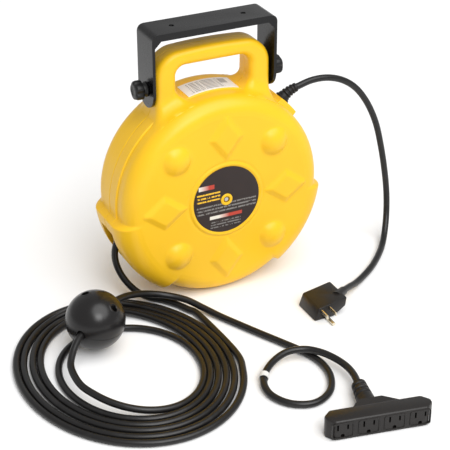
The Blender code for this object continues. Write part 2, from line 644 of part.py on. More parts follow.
def spool(parts, cutters):
    centre = (0, 0, AXIS_Z)
    inside = HUB_R - HUB_WALL
    end = SPOOL_HALF - GAP
    hub = [(HUB_R, end), (HUB_R, -end), (inside, -end), (inside, -0.005), (0.0122, -0.005), (0.0122, -0.030),
           (0.0098, -0.030), (0.0098, 0.030), (0.0122, 0.030), (0.0122, -0.001), (inside, -0.001),
           (inside, end)]
    turned("spool_hub", hub, parts, "grey_plastic", closed=True, steps=32, at=centre)
    for name, side in (("front", -1), ("rear", 1)):
        middle = side * (SPOOL_HALF + FLANGE_THICK / 2)
        hole = 0.047 if side < 0 else 0.0135
        half = FLANGE_THICK / 2
        flange = [(FLANGE_R, half), (FLANGE_R, -half), (hole, -half), (hole, half)]
        turned(f"spool_{name}_flange", flange, parts, "grey_plastic", closed=True, steps=40,
               at=(0, middle, AXIS_Z))
        bush = [(0.0095, 0.012), (0.0095, 0.0), (AXLE_R + 0.0002, 0.0), (AXLE_R + 0.0002, 0.012)]
        turned(f"axle_bush_{name}", bush, parts, "brass", closed=True, steps=16,
               at=(0, side * 0.018, AXIS_Z), along=(0, side, 0))
    full = [(WINDING_R - 0.003, end - 0.001), (WINDING_R, end - 0.006), (WINDING_R, -end + 0.006),
            (WINDING_R - 0.003, -end + 0.001), (HUB_R + 0.0005, -end + 0.001), (HUB_R + 0.0005, end - 0.001)]
    turned("cord_winding", full, parts, "black_jacket", closed=True, steps=32, at=centre)
    rod("axle", (0, -0.0524, AXIS_Z), (0, 0.0524, AXIS_Z), AXLE_R, parts, "steel", sides=24)

    turns = np.linspace(0, 2 * pi * SPRING_TURNS, round(SPRING_TURNS * 14) + 1)
    radius = np.linspace(0.0145, inside - 0.002, len(turns))
    outer = [((r + SPRING_THICK / 2) * cos(t), AXIS_Z + (r + SPRING_THICK / 2) * sin(t))
             for r, t in zip(radius, turns)]
    inner = [((r - SPRING_THICK / 2) * cos(t), AXIS_Z + (r - SPRING_THICK / 2) * sin(t))
             for r, t in zip(radius, turns)]
    spring = plate("power_spring", outer + inner[::-1], 0.0145, parts,
                   place=Matrix.Translation((0, 0.0165, 0)))
    finished(spring, "spring_steel", 50)


def contacts(parts, cutters):
    carrier = [(0.0465, 0.0055), (0.0465, 0.0), (0.0130, 0.0), (0.0130, 0.0055)]
    turned("slip_ring_carrier", carrier, parts, "black_plastic", closed=True, steps=32,
           at=(0, -0.0053, AXIS_Z), along=(0, -1, 0))
    for name, radius in zip(("inner", "middle", "outer"), RING_RADII):
        ring = [(radius + 0.002, 0.0014), (radius + 0.002, 0.0), (radius - 0.002, 0.0),
                (radius - 0.002, 0.0014)]
        turned(f"slip_ring_{name}", ring, parts, "brass", closed=True, steps=24,
               at=(0, -0.0111, AXIS_Z), along=(0, -1, 0))
        z = AXIS_Z + radius
        box(f"brush_{name}", (-0.0025, -0.0197, z - 0.002), (0.0025, -0.0128, z + 0.002), parts, "carbon")
    box("brush_holder", (-0.008, -HALF_DEPTH + WALL + GAP, AXIS_Z + 0.0155),
        (0.008, -0.0200, AXIS_Z + 0.043), parts, "black_plastic")


def ratchet(parts, cutters):
    outline = []
    for i in range(TEETH):
        first = 360 / TEETH * i + 4
        outline += arc((0, AXIS_Z), TOOTH_R, first, first + 8, 2)
        outline += arc((0, AXIS_Z), ROOT_R, first + 11, first + 29, 3)
    bore = list(reversed(arc((0, AXIS_Z), 0.0485, 0, 352, 45)))
    middle = -(SPOOL_HALF + FLANGE_THICK + GAP + RATCHET_THICK / 2)
    wheel = plate("ratchet_ring", outline, RATCHET_THICK / 2, parts, holes=[bore],
                  place=Matrix.Translation((0, middle, 0)))
    finished(wheel, "steel")

    pin = polar(PAWL_AT, PAWL_R)
    lever = arc((0, 0), 0.0055, 90, 270, 7)
    lever += [(PAWL_LONG - 0.011, -0.0040), (PAWL_LONG, 0.0), (PAWL_LONG - 0.003, 0.0025), (0.016, 0.0018)]
    hole = list(reversed(arc((0, 0), 0.0028, 0, 330, 12)))
    turn = Matrix.Rotation(-radians(PAWL_ENGAGED - PAWL_LIFT), 4, "Y")
    pawl = plate("pawl", lever, RATCHET_THICK / 2 - GAP, parts, holes=[hole],
                 place=Matrix.Translation((pin.x, middle, pin.z)) @ turn)
    finished(pawl, "steel")
    rod("pawl_pin", (pin.x, -0.0480, pin.z), (pin.x, middle + RATCHET_THICK / 2, pin.z), 0.0025, parts,
        "steel", sides=16)
    turns = np.linspace(0, 2 * pi * 2, 21)
    coil = [(pin.x + 0.0040 * cos(t), middle - RATCHET_THICK / 2 - 0.0008 - 0.0009 * t / pi / 2,
             pin.z + 0.0040 * sin(t)) for t in turns]
    tube("pawl_spring", coil, 0.0004, parts, "spring_steel", detail=0)


# ---------------------------------------------------------------- cords and what is on them

def power_lead(parts, cutters):
    away = polar(GLAND_AT, 1.0) - polar(GLAND_AT, 0.0)
    seat = polar(GLAND_AT, LUG_R + GAP)
    flange = [(0.0, 0.0030), (0.0092, 0.0030), (0.0105, 0.0018), (0.0105, 0.0), (0.0, 0.0)]
    gland = turned("lead_gland", flange, parts, steps=24, at=seat, along=away)
    stem = as_cutter(rod("gland_stem", polar(GLAND_AT, 0.139), polar(GLAND_AT, LUG_R + 0.002), 0.0058,
                         cutters,
                         sides=20))
    finished(combine(gland, [stem], "UNION"), "soft_black")
    start = polar(GLAND_AT, LUG_R + 0.0030 + 2 * GAP)
    bend = np.radians(np.linspace(GLAND_AT, 13.0, 9))
    step = BOOT_LONG / 8
    points = [tuple(start)]
    for t in (bend[1:] + bend[:-1]) / 2:
        last = points[-1]
        points.append((last[0] + step * cos(t), 0.0, last[2] + step * sin(t)))
    shape = np.linspace(0.0088, 0.0060, 9)
    tube("lead_strain_relief", points, 1.0, parts, "soft_black", detail=3, radii=shape)
    end = Vector(points[-1])
    route = [(end.x + GAP * 1.2, 0.0, end.z + GAP * 0.3)] + list(LEAD_ROUTE[1:])
    tube("power_lead", smooth_route(route, 0.022), CORD_R, parts, "black_jacket")


def plug(parts, cutters):
    """A right-angle plug lying on its side, its pins towards -Y and its cord from the right."""
    x, y = PLUG_AT
    side = [(-0.0255, 0.0004), (0.0065, 0.0010), (0.0235, 0.0125), (0.0250, 0.0262), (-0.0190, 0.0185)]
    place = Matrix.Translation((x, y, 0))
    body = plate("plug_body", side, PLUG_DEEP / 2, parts, place=place)
    body = baked(rounded(body, 0.0022, 2, 25))
    relief = as_cutter(rod("plug_relief", (x + 0.0170, y - 0.0080, 0.0192), (x + 0.0360, y + 0.0055, 0.0173),
                           0.0082, cutters, sides=16, end_radius=0.0062))
    finished(combine(body, [relief], "UNION"), "black_plastic")
    face = y - PLUG_DEEP / 2 - GAP
    lean = radians(8)
    step = Vector((cos(lean), 0, sin(lean))) * (BLADE_SPACING / 2)
    middle = Vector((x - 0.0085, 0, 0.0148))
    for name, at in (("left", middle - step), ("right", middle + step)):
        blade = box(f"plug_blade_{name}", (-BLADE_THICK / 2, face - BLADE_LONG, -BLADE_WIDE / 2),
                    (BLADE_THICK / 2, face, BLADE_WIDE / 2), parts, "brass")
        blade.data.transform(Matrix.Translation(at) @ Matrix.Rotation(-lean, 4, "Y"))
    pin = middle + Vector((sin(lean), 0, -cos(lean))) * GROUND_DROP
    rod("plug_ground_pin", (pin.x, face, pin.z), (pin.x, face - 0.0205, pin.z), 0.0024, parts, "brass",
        sides=14)


def output_cord(parts, cutters):
    tube("output_cord_near", smooth_route(NEAR_ROUTE, 0.020), CORD_R, parts, "black_jacket")
    tube("output_cord_rise", smooth_route(RISE_ROUTE, 0.012), CORD_R, parts, "black_jacket")
    tube("output_cord_far", smooth_route(FAR_ROUTE, 0.021), CORD_R, parts, "black_jacket")
    ring = [(COIL_OUT_R - 0.004, COIL_HIGH), (COIL_OUT_R, COIL_HIGH - 0.004), (COIL_OUT_R, 0.004),
            (COIL_OUT_R - 0.004, 0.0002), (COIL_IN_R + 0.004, 0.0002), (COIL_IN_R, 0.004),
            (COIL_IN_R, COIL_HIGH - 0.004), (COIL_IN_R + 0.004, COIL_HIGH)]
    coil = turned("output_cord_coil", ring, parts, closed=True, steps=48, along=(0, 0, 1))
    coil.data.transform(Matrix.Translation((*COIL_AT, 0)) @ Matrix.Diagonal((1, COIL_STRETCH, 1, 1)))
    work = bmesh.new()
    bmesh.ops.create_icosphere(work, subdivisions=3, radius=BALL_R + 0.0008)
    mesh = bpy.data.meshes.new("ball_room")
    work.to_mesh(mesh)
    work.free()
    mesh.transform(Matrix.Translation(BALL_AT))
    finished(combine(coil, [as_cutter(put("ball_room", mesh, cutters))], "DIFFERENCE"), "black_jacket")
    tag = smooth_route(FAR_ROUTE, 0.0005)
    middle = min(range(len(tag)), key=lambda i: (Vector(tag[i]) - Vector((-0.0535, -0.272, 0.008))).length)
    first, last = Vector(tag[middle - 6]), Vector(tag[middle + 6])
    along = (last - first).normalized()
    band = [(0.0065, 0.0042), (0.0065, -0.0042), (0.0056, -0.0042), (0.0056, 0.0042)]
    turned("cord_tag_band", band, parts, "white_band", closed=True, steps=20, at=(first + last) / 2,
           along=along)


def stop_ball(parts, cutters):
    axis = Vector(BALL_AXIS).normalized()
    up = (Vector((0.141, -0.216, 0.966)) - axis * axis.dot(Vector((0.141, -0.216, 0.966)))).normalized()
    across = axis.cross(up)
    place = Matrix.Translation(BALL_AT) @ Matrix((across, axis, up)).transposed().to_4x4()
    for name, side in (("lower", -1), ("upper", 1)):
        work = bmesh.new()
        bmesh.ops.create_uvsphere(work, u_segments=24, v_segments=14, radius=BALL_R)
        mesh = bpy.data.meshes.new(f"stop_ball_{name}")
        work.to_mesh(mesh)
        work.free()
        half = put(mesh.name, mesh, parts)
        low, high = sorted((side * GAP / 2, side * 0.05))
        keep = as_cutter(box(f"{name}_ball_side", (-0.05, -0.05, low), (0.05, 0.05, high), cutters))
        bore = as_cutter(rod(f"{name}_ball_bore", (0, -0.05, 0), (0, 0.05, 0), CORD_R + GAP, cutters,
                             sides=16))
        combine(half, [keep], "INTERSECT")
        cuts = [bore]
        for i, x in enumerate((-BALL_SCREW_AT, BALL_SCREW_AT)):
            cuts.append(as_cutter(rod(f"{name}_ball_hole{i}", (x, 0, -0.020), (x, 0, 0.05), 0.0023,
                                      cutters, sides=12)))
            if side > 0:
                cuts.append(as_cutter(rod(f"{name}_ball_sink{i}", (x, 0, 0.012), (x, 0, 0.05), 0.0045,
                                          cutters,
                                          sides=16)))
        combine(half, cuts, "DIFFERENCE")
        half = finished(half, "black_plastic")
        half.data.transform(place)
    for i, x in enumerate((-BALL_SCREW_AT, BALL_SCREW_AT)):
        screw = rod(f"stop_ball_screw_{i + 1}", (x, 0, -0.0195), (x, 0, 0.0128), 0.0020, parts, sides=10)
        head = as_cutter(rod(f"ball_screw_head{i}", (x, 0, 0.0123), (x, 0, 0.0150), 0.0040, cutters,
                             sides=14))
        screw = finished(combine(screw, [head], "UNION"), "steel")
        screw.data.transform(place)


def tap(parts, cutters):
    """The four-way tap on the end of the output cord, its outlets towards -Y."""
    long, deep, cut = TAP_LONG / 2, TAP_DEEP / 2, TAP_CORNER
    throat = deep + THROAT_DEEP
    plan = [(-long, -deep + cut), (-long + cut, -deep), (long - cut, -deep), (long, -deep + cut),
            (long, deep - cut), (long - cut, deep), (-long + cut, deep), (-long, deep - cut)]
    flare = [(-0.034, deep - 0.006), (0.042, deep - 0.006), (0.014, throat), (-0.016, throat)]
    lay = Matrix.Translation((0, 0, TAP_HIGH / 2)) @ Matrix.Rotation(pi / 2, 4, "X")
    body = plate("tap_body", [(x, -y) for x, y in plan], TAP_HIGH / 2, parts, place=lay)
    body = baked(rounded(body, 0.0025, 2, 30))
    web = plate("tap_throat", [(x, -y) for x, y in flare], TAP_HIGH / 2 - 0.0021, cutters, place=lay)
    middle = TAP_HIGH / 2
    slots = []
    for i in range(4):
        x = (i - 1.5) * OUTLET_PITCH
        for k, (dx, tall) in enumerate(((-0.00635, 0.0042), (0.00635, 0.0034))):
            slots.append(as_cutter(box(f"slot_{i}_{k}", (x + dx - 0.0011, -deep - 0.01,
                                                         middle + 0.0045 - tall),
                                       (x + dx + 0.0011, -deep + 0.012, middle + 0.0045 + tall), cutters)))
        slots.append(as_cutter(rod(f"ground_{i}", (x, -deep - 0.01, middle - 0.0074),
                                   (x, -deep + 0.012, middle - 0.0074), 0.0026, cutters, sides=12)))
    combine(body, [as_cutter(web)], "UNION")
    combine(body, slots, "DIFFERENCE")
    body = finished(body, "black_plastic")
    place = Matrix.Translation((*TAP_AT, 0)) @ Matrix.Rotation(radians(TAP_TURN), 4, "Z")
    body.data.transform(place)
    neck = [(0.0, NECK_LONG), (0.0085, NECK_LONG)]
    for i in range(3):
        top = NECK_LONG - 0.004 - 0.007 * i
        neck += [(0.0094 + 0.0006 * i, top), (0.0094 + 0.0006 * i, top - 0.003),
                 (0.0080 + 0.0006 * i, top - 0.0038),
                 (0.0080 + 0.0006 * i, top - 0.0062)]
    neck += [(0.0110, 0.016), (0.0115, 0.008), (0.0135, 0.0), (0.0, 0.0)]
    item = turned("tap_strain_relief", neck, parts, "soft_black", steps=16,
                  at=(NECK_X, throat + GAP, middle - 0.0005), along=(0.085, 0.996, 0))
    flat = as_cutter(box("neck_flat", (-0.05, -0.05, -0.01), (0.05, throat + GAP, 0.05), cutters))
    item = finished(combine(item, [flat], "DIFFERENCE"), "soft_black")
    item.data.transform(place)


def swings(parts):
    """An empty on each joint's axis, with the pieces that move on it parented to it."""
    pin = polar(PAWL_AT, PAWL_R, -(SPOOL_HALF + FLANGE_THICK + GAP + RATCHET_THICK / 2))
    turning = ("spool_hub", "spool_front_flange", "spool_rear_flange", "ratchet_ring", "cord_winding",
               "axle_bush_front", "axle_bush_rear", "slip_ring_carrier", "slip_ring_inner",
               "slip_ring_middle", "slip_ring_outer", "power_spring")
    joints = {
        "bracket_swing": ((0, 0, PIVOT_Z), ("bracket",)),
        "left_knob_turn": ((-BRACKET_HALF, 0, PIVOT_Z), ("left_knob", "left_pivot_bolt")),
        "right_knob_turn": ((BRACKET_HALF, 0, PIVOT_Z), ("right_knob", "right_pivot_bolt")),
        "spool_spin": ((0, 0, AXIS_Z), turning),
        "pawl_swing": (tuple(pin), ("pawl",)),
    }
    for name, (place, pieces) in joints.items():
        pivot = bpy.data.objects.new(name, None)
        pivot.location = place
        pivot.empty_display_size = 0.02
        parts.objects.link(pivot)
        bpy.context.view_layer.update()
        for piece in pieces:
            item = bpy.data.objects[piece]
            item.parent = pivot
            item.matrix_parent_inverse = pivot.matrix_world.inverted()


def main():
    clear_scene()
    parts = collection("extension_cord_reel")
    cutters = collection("cutters")
    case_halves(parts, cutters)
    labels(parts, cutters)
    case_screws(parts, cutters)
    bracket(parts, cutters)
    pivots(parts, cutters)
    spool(parts, cutters)
    contacts(parts, cutters)
    ratchet(parts, cutters)
    power_lead(parts, cutters)
    plug(parts, cutters)
    output_cord(parts, cutters)
    stop_ball(parts, cutters)
    tap(parts, cutters)
    swings(parts)


main()
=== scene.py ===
"""Looks of a spring-return extension cord reel, built round its fixed CAD frame.

The reel stands on z = 0 with its drum's axis along Y and its label towards -Y. Every new piece is
a surface worked out from a formula on a grid, in the frame's own place and size.
"""

import json
import math

import bmesh
import bpy
import numpy as np
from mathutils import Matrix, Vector

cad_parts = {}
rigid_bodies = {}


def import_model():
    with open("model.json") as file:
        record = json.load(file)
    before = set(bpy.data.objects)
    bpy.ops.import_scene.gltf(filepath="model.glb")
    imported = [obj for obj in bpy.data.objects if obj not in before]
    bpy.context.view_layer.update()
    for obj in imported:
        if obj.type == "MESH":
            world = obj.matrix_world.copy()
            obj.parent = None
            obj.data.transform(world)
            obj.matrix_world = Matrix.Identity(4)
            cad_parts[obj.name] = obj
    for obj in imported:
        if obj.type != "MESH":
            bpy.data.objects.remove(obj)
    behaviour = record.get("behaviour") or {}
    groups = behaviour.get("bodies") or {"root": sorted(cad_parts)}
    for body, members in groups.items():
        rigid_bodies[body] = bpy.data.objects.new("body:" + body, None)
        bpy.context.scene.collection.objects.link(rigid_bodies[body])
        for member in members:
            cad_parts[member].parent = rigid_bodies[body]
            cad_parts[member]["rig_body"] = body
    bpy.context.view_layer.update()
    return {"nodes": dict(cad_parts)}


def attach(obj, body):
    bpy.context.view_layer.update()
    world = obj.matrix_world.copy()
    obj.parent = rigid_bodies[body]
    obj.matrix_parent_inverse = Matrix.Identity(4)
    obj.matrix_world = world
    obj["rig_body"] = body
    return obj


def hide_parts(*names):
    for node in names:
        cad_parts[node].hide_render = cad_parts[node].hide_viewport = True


bl_info = {
    "name": "Extension Cord Reel",
    "version": (1, 0, 0),
    "blender": (4, 5, 0),
    "location": "3D View > Sidebar > Cord Reel",
    "description": "Builds the case, bracket, cords, plug, tap and finishes of an extension cord reel",
    "category": "Object",
}

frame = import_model()

# ---- sizes in metres and angles in degrees, the same as the frame's
DRUM_R, BAND_R, BAND_HALF = 0.146, 0.148, 0.0195
HALF_DEPTH, RIM_FILLET = 0.056, 0.023
AXIS_Z = 0.148
LOBE_R, LOBE_FILLET, LOBE_EDGES = 0.158, 0.030, (-55.0, -6.0)
DOME_R, DOME_RISE, DOME_AT = 0.020, 0.009, 0.072
DIAMOND_AT, DIAMOND_LONG, DIAMOND_WIDE, DIAMOND_RISE = 0.0915, 0.0355, 0.0270, 0.0042
REAR_BOSS_R, REAR_BOSS_RISE = 0.058, 0.009
LABEL_R, AXLE_HOLE_R = 0.0495, 0.0056
LUG_EDGES, LUG_R, LUG_HALF = (36.0, 49.0), 0.154, 0.022
MOUTH_EDGES, MOUTH_HALF, MOUTH_DEEP = (-166.5, -150.0), 0.019, 0.019
POST_ANGLES, POST_AT = (20.0, 68.0, 112.0, 160.0, 250.0, 290.0), 0.1355
WELL_HOLE_R, WELL_FLOOR = 0.0049, 0.0385
WALL = 0.003
LEG_OUT, LEG_IN = 0.084, 0.054
HANDLE_HALF_DEPTH, SHOULDER_Z, CORNER_R, CROWN = 0.0205, 0.321, 0.034, 0.004
OPENING_TOP, OPENING_R = 0.3365, 0.014
OUTER_BLEND, INNER_BLEND, FACE_BLEND, EDGE_R = 0.034, 0.017, 0.020, 0.0092
PIVOT_Z, BRACKET_HALF, KNOB_LOBES = 0.306, 0.0904, 5
CORD_R = 0.0047
GLAND_AT, BOOT_LONG = 43.0, 0.024
BALL_R, BALL_AT, BALL_AXIS = 0.0395, (-0.217, -0.110, 0.0465), (0.780, 0.625, 0.030)
BALL_UP, BALL_SCREW_AT = (0.141, -0.216, 0.966), 0.0215
BALL_HOLE_R, BALL_WELL_FLOOR = 0.0052, 0.0150
TAP_AT, TAP_TURN = (0.027, -0.418), -11.0
TAP_HALF_DEEP, TAP_HIGH, OUTLET_PITCH, TAP_NECK_LONG = 0.013, 0.028, 0.0331, 0.046
MAINS_LENGTH, OUTPUT_LENGTH, CORD_STEP = 0.55, 5.6, 0.004

# ---- the camera, and what the lamps point at
VIEW_FROM, VIEW_TOWARDS, VIEW_LENS = (-0.7534, -1.5862, 1.0525), (0.3855, 0.7852, -0.4845), 113.6
LIT_POINT = (0.0, -0.05, 0.15)

# ---- the cords' routes
LEAD_ROUTE = (
    (0.1372, 0, 0.2675), (0.1600, 0, 0.2715), (0.1850, 0, 0.2705), (0.2100, 0, 0.2620),
    (0.2330, 0, 0.2450), (0.2530, 0, 0.2180), (0.2690, 0, 0.1840), (0.2800, 0, 0.1450),
    (0.2880, -0.001, 0.1050), (0.2920, -0.004, 0.0680), (0.2890, -0.012, 0.0370),
    (0.2790, -0.026, 0.0160), (0.2630, -0.046, 0.0065), (0.2420, -0.069, 0.0050),
    (0.2160, -0.093, 0.0050), (0.1900, -0.1120, 0.0054), (0.1690, -0.1265, 0.0080),
    (0.1510, -0.1385, 0.0130), (0.1362, -0.1486, 0.0171),
)
NEAR_ROUTE = (
    (-0.0819, 0, 0.1941), (-0.1020, 0, 0.1590), (-0.1240, 0, 0.1200), (-0.1400, -0.001, 0.0890),
    (-0.1455, -0.004, 0.0690), (-0.1430, -0.010, 0.0490), (-0.1340, -0.017, 0.0300),
    (-0.1210, -0.023, 0.0145), (-0.1070, -0.031, 0.0062), (-0.0930, -0.043, 0.0050),
    (-0.0810, -0.060, 0.0050), (-0.0710, -0.081, 0.0050), (-0.0635, -0.103, 0.0050),
    (-0.0605, -0.126, 0.0050),
)
RISE_ROUTE = (
    (-0.2790, -0.1930, 0.0242), (-0.2760, -0.1740, 0.0275), (-0.2680, -0.1570, 0.0340),
    (-0.2570, -0.1440, 0.0410), (-0.2465, -0.1345, 0.0449),
)
FAR_ROUTE = (
    (-0.1875, -0.0865, 0.0474), (-0.1700, -0.0730, 0.0440), (-0.1500, -0.0600, 0.0370),
    (-0.1280, -0.0510, 0.0290), (-0.1060, -0.0500, 0.0220), (-0.0860, -0.0570, 0.0172),
    (-0.0680, -0.0720, 0.0140), (-0.0530, -0.0930, 0.0090), (-0.0390, -0.1180, 0.0056),
    (-0.0260, -0.1440, 0.0050), (-0.0110, -0.1750, 0.0050), (0.0060, -0.2090, 0.0050),
    (0.0220, -0.2430, 0.0050), (0.0300, -0.2750, 0.0050), (0.0250, -0.3070, 0.0050),
    (0.0070, -0.3350, 0.0050), (-0.0210, -0.3470, 0.0050), (-0.0480, -0.3350, 0.0050),
    (-0.0620, -0.3080, 0.0055), (-0.0570, -0.2790, 0.0070), (-0.0360, -0.2560, 0.0100),
    (-0.0080, -0.2450, 0.0140), (0.0170, -0.2500, 0.0152), (0.0340, -0.2660, 0.0150),
    (0.0440, -0.2860, 0.0142), (0.0485, -0.3060, 0.0136), (0.0475, -0.3260, 0.0134),
    (0.0420, -0.3459, 0.0134),
)
# the coil's loops are ovals about one centre; how far out it lies, as a share of the oval,
# at each quarter turn from the right, going clockwise as seen from above
COIL_AT, COIL_HALF = (-0.197, -0.172), (0.139, 0.165)
COIL_FIRST, COIL_LAST = 4.0, 5.46  # the first angle in degrees, and the number of turns
COIL_SHARE = (
    0.995, 1.020, 1.000, 1.005,
    0.925, 0.945, 0.930, 0.945,
    0.855, 0.870, 0.840, 0.885,
    0.785, 0.800, 0.768, 0.825,
    0.715, 0.730, 0.655, 0.560,
    0.640, 0.665, 0.600,
)


# ------------------------------------------------------------------ surfaces on grids

def smoothstep(low, high, value):
    """0 below low, 1 above high, and the cubic 3t^2 - 2t^3 between them."""
    t = np.clip((value - low) / (high - low), 0.0, 1.0)
    return t * t * (3 - 2 * t)


def step_down(low, high, value):
    """1 below low and 0 above high, the other way round from smoothstep."""
    return 1 - smoothstep(low, high, value)


def around(count):
    """Even angles round a full turn, in radians."""
    return np.radians(np.linspace(0, 360, count, endpoint=False))


def soft_above(value, softness):
    """value where it is well above zero, zero where it is well below, rounded between them."""
    return 0.5 * (value + np.sqrt(value * value + softness * softness))


def xyz(x, y, z):
    """Three arrays of one shape, or numbers, as one array of points."""
    return np.stack(np.broadcast_arrays(x, y, z), axis=-1).astype(float)


def unit(vectors):
    """Each vector divided by its length."""
    return vectors / np.linalg.norm(vectors, axis=-1, keepdims=True)


def grid_faces(rows, columns, around_rows, around_columns):
    """Four corners of each cell of a grid, with its last row or column joined to the first."""
    i = np.arange(rows if around_rows else rows - 1)[:, None]
    j = np.arange(columns if around_columns else columns - 1)[None, :]
    i2, j2 = (i + 1) % rows, (j + 1) % columns
    corners = (i * columns + j, i2 * columns + j, i2 * columns + j2, i * columns + j2)
    return np.stack([c.ravel() for c in np.broadcast_arrays(*corners)], axis=-1)


def surface(points, around_rows=False, around_columns=False, uv=None, keep=None):
    """A grid of points as vertices, four-cornered faces and corner UVs; keep(centres) drops faces."""
    rows, columns = points.shape[:2]
    faces = grid_faces(rows, columns, around_rows, around_columns)
    flat = points.reshape(-1, 3)
    if uv is None:
        uv = np.zeros((rows, columns, 2))
    corner_uv = uv.reshape(-1, 2)[faces]
    if keep is not None:
        chosen = keep(flat[faces].mean(axis=1))
        faces, corner_uv = faces[chosen], corner_uv[chosen]
    return flat, faces, corner_uv


def soft_shaded(work, degrees):
    """Makes faces smooth, and keeps an edge sharp where it is open or turns by more than some degrees."""
    limit = math.radians(degrees)
    for face in work.faces:
        face.smooth = True
    for edge in work.edges:
        edge.smooth = len(edge.link_faces) == 2 and edge.calc_face_angle(0.0) < limit


def piece(name, surfaces, body, finish, nodes=(), sharp=40.0, outward=True):
    """One object made of some surfaces, welded, facing out, smooth except at edges over sharp degrees."""
    starts = np.cumsum([0] + [len(flat) for flat, _, _ in surfaces])
    points = np.concatenate([flat for flat, _, _ in surfaces])
    faces = np.concatenate([quads + start for (_, quads, _), start in zip(surfaces, starts)])
    uvs = np.concatenate([corner_uv for _, _, corner_uv in surfaces])
    mesh = bpy.data.meshes.new(name)
    mesh.vertices.add(len(points))
    mesh.vertices.foreach_set("co", points.astype(np.float32).ravel())
    mesh.loops.add(faces.size)
    mesh.loops.foreach_set("vertex_index", faces.astype(np.int32).ravel())
    mesh.polygons.add(len(faces))
    mesh.polygons.foreach_set("loop_start", np.arange(0, faces.size, 4, dtype=np.int32))
    mesh.update(calc_edges=True)
    layer = mesh.uv_layers.new(name="along")
    layer.data.foreach_set("uv", uvs.astype(np.float32).ravel())
    work = bmesh.new()
    work.from_mesh(mesh)
    bmesh.ops.remove_doubles(work, verts=work.verts, dist=1e-6)
    bmesh.ops.dissolve_degenerate(work, edges=work.edges, dist=1e-7)
    if outward:
        bmesh.ops.recalc_face_normals(work, faces=work.faces)
    soft_shaded(work, sharp)
    work.to_mesh(mesh)
    work.free()
    return dressed(mesh, body, finish, nodes)


def dressed(mesh, body, finish, nodes):
    """A mesh as an object, with its finish, the body it rides on and the nodes it stands for."""
    slot, material = FINISHES[finish]
    mesh.materials.clear()
    mesh.materials.append(material)
    item = bpy.data.objects.new(mesh.name, mesh)
    bpy.context.scene.collection.objects.link(item)
    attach(item, body)
    if nodes:
        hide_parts(*nodes)
    return item


def refined(node, name, finish, width, sharp=35.0):
    """A merged copy of a CAD node with its flat faces joined and its edges softened by a bevel."""
    source = frame["nodes"][node]
    mesh = source.data.copy()
    mesh.name = name
    work = bmesh.new()
    work.from_mesh(mesh)
    bmesh.ops.remove_doubles(work, verts=work.verts, dist=2e-6)
    bmesh.ops.dissolve_limit(work, angle_limit=math.radians(0.6), verts=work.verts, edges=work.edges)
    soft_shaded(work, sharp)
    work.to_mesh(mesh)
    work.free()
    item = dressed(mesh, source["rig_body"], finish, (node,))
    if width:
        soft = item.modifiers.new("soft edges", "BEVEL")
        soft.width = width
        soft.segments = 2
        soft.limit_method = "ANGLE"
        soft.angle_limit = math.radians(sharp)
        soft.harden_normals = True
    return item


def lathe(profile, centre, axis, turns, first=0.0, last=360.0, side=(0.0, 0.0, 1.0), keep=None):
    """A profile of (radius, distance along the axis) turned round an axis, from first to last degrees.

    Each point is centre + along * axis + radius * (cos * side + sin * third), where side and third
    are two directions square to the axis.
    """
    axis = unit(np.array(axis, float))
    third = unit(np.cross(axis, np.array(side, float)))
    side = np.cross(third, axis)
    whole = abs(last - first) >= 360.0
    angles = np.radians(np.linspace(first, last, turns, endpoint=not whole))[:, None, None]
    radius, along = np.array(profile, float).T
    points = (
        np.array(centre, float)
        + along[None, :, None] * axis
        + radius[None, :, None] * (np.cos(angles) * side + np.sin(angles) * third)
    )
    return surface(points, around_rows=True, keep=keep)


def walked_along(line):
    """How far along a line each of its points lies."""
    return np.concatenate([[0.0], np.cumsum(np.linalg.norm(np.diff(line, axis=0), axis=1))])


def capped(points):
    """A grid with its first and last rows closed by a point in their middles."""
    ends = [np.broadcast_to(points[i].mean(axis=0), points[i].shape)[None] for i in (0, -1)]
    return np.concatenate([ends[0], points, ends[1]])


def smooth_line(route):
    """A Catmull-Rom curve through the route's points, at even distances along itself."""
    route = np.array(route, float)
    ends = np.vstack([2 * route[0] - route[1], route, 2 * route[-1] - route[-2]])
    a, b, c, d = ends[:-3], ends[1:-2], ends[2:-1], ends[3:]
    t = np.linspace(0, 1, 24, endpoint=False)[:, None, None]
    curve = 0.5 * (
        2 * b + (c - a) * t + (2 * a - 5 * b + 4 * c - d) * t**2 + (3 * b - a - 3 * c + d) * t**3
    )
    dense = np.vstack([np.swapaxes(curve, 0, 1).reshape(-1, 3), route[-1]])
    walked = walked_along(dense)
    even = np.linspace(0.0, walked[-1], int(round(walked[-1] / CORD_STEP)) + 1)
    return np.stack([np.interp(even, walked, dense[:, k]) for k in range(3)], axis=-1)


def carried_frames(line):
    """Tangent, normal and third direction at each station, turned as little as they can be."""
    tangent = unit(np.gradient(line, axis=0))
    normal = np.zeros_like(line)
    last = np.cross(tangent[0], (0.31, 0.52, 0.79))
    for i, ahead in enumerate(tangent):
        last = last - ahead * last.dot(ahead)
        last = last / math.sqrt(last.dot(last))
        normal[i] = last
    return tangent, normal, np.cross(tangent, normal)


def round_tube(line, radii, sides=20):
    """A circle of the given radius carried along a line, with both ends closed.

    Each point is line(s) + radius(s) * (cos a * normal + sin a * third). Its UV is the angle as a
    share of a turn, and the distance along the line in metres.
    """
    stations = np.concatenate([[0], np.arange(len(line)), [len(line) - 1]])
    _, normal, third = (part[stations, None, :] for part in carried_frames(line))
    radii = np.broadcast_to(np.array(radii, float), (len(line),))
    radii = np.concatenate([[0.0], radii, [0.0]])[:, None, None]
    share = np.linspace(0, 1, sides + 1)[None, :]
    angle = 2 * math.pi * share[:, :, None]
    points = line[stations, None, :] + radii * (np.cos(angle) * normal + np.sin(angle) * third)
    uv = np.stack(np.broadcast_arrays(share, walked_along(line)[stations, None]), axis=-1)
    return surface(points, uv=uv)


# ------------------------------------------------------------------ finishes

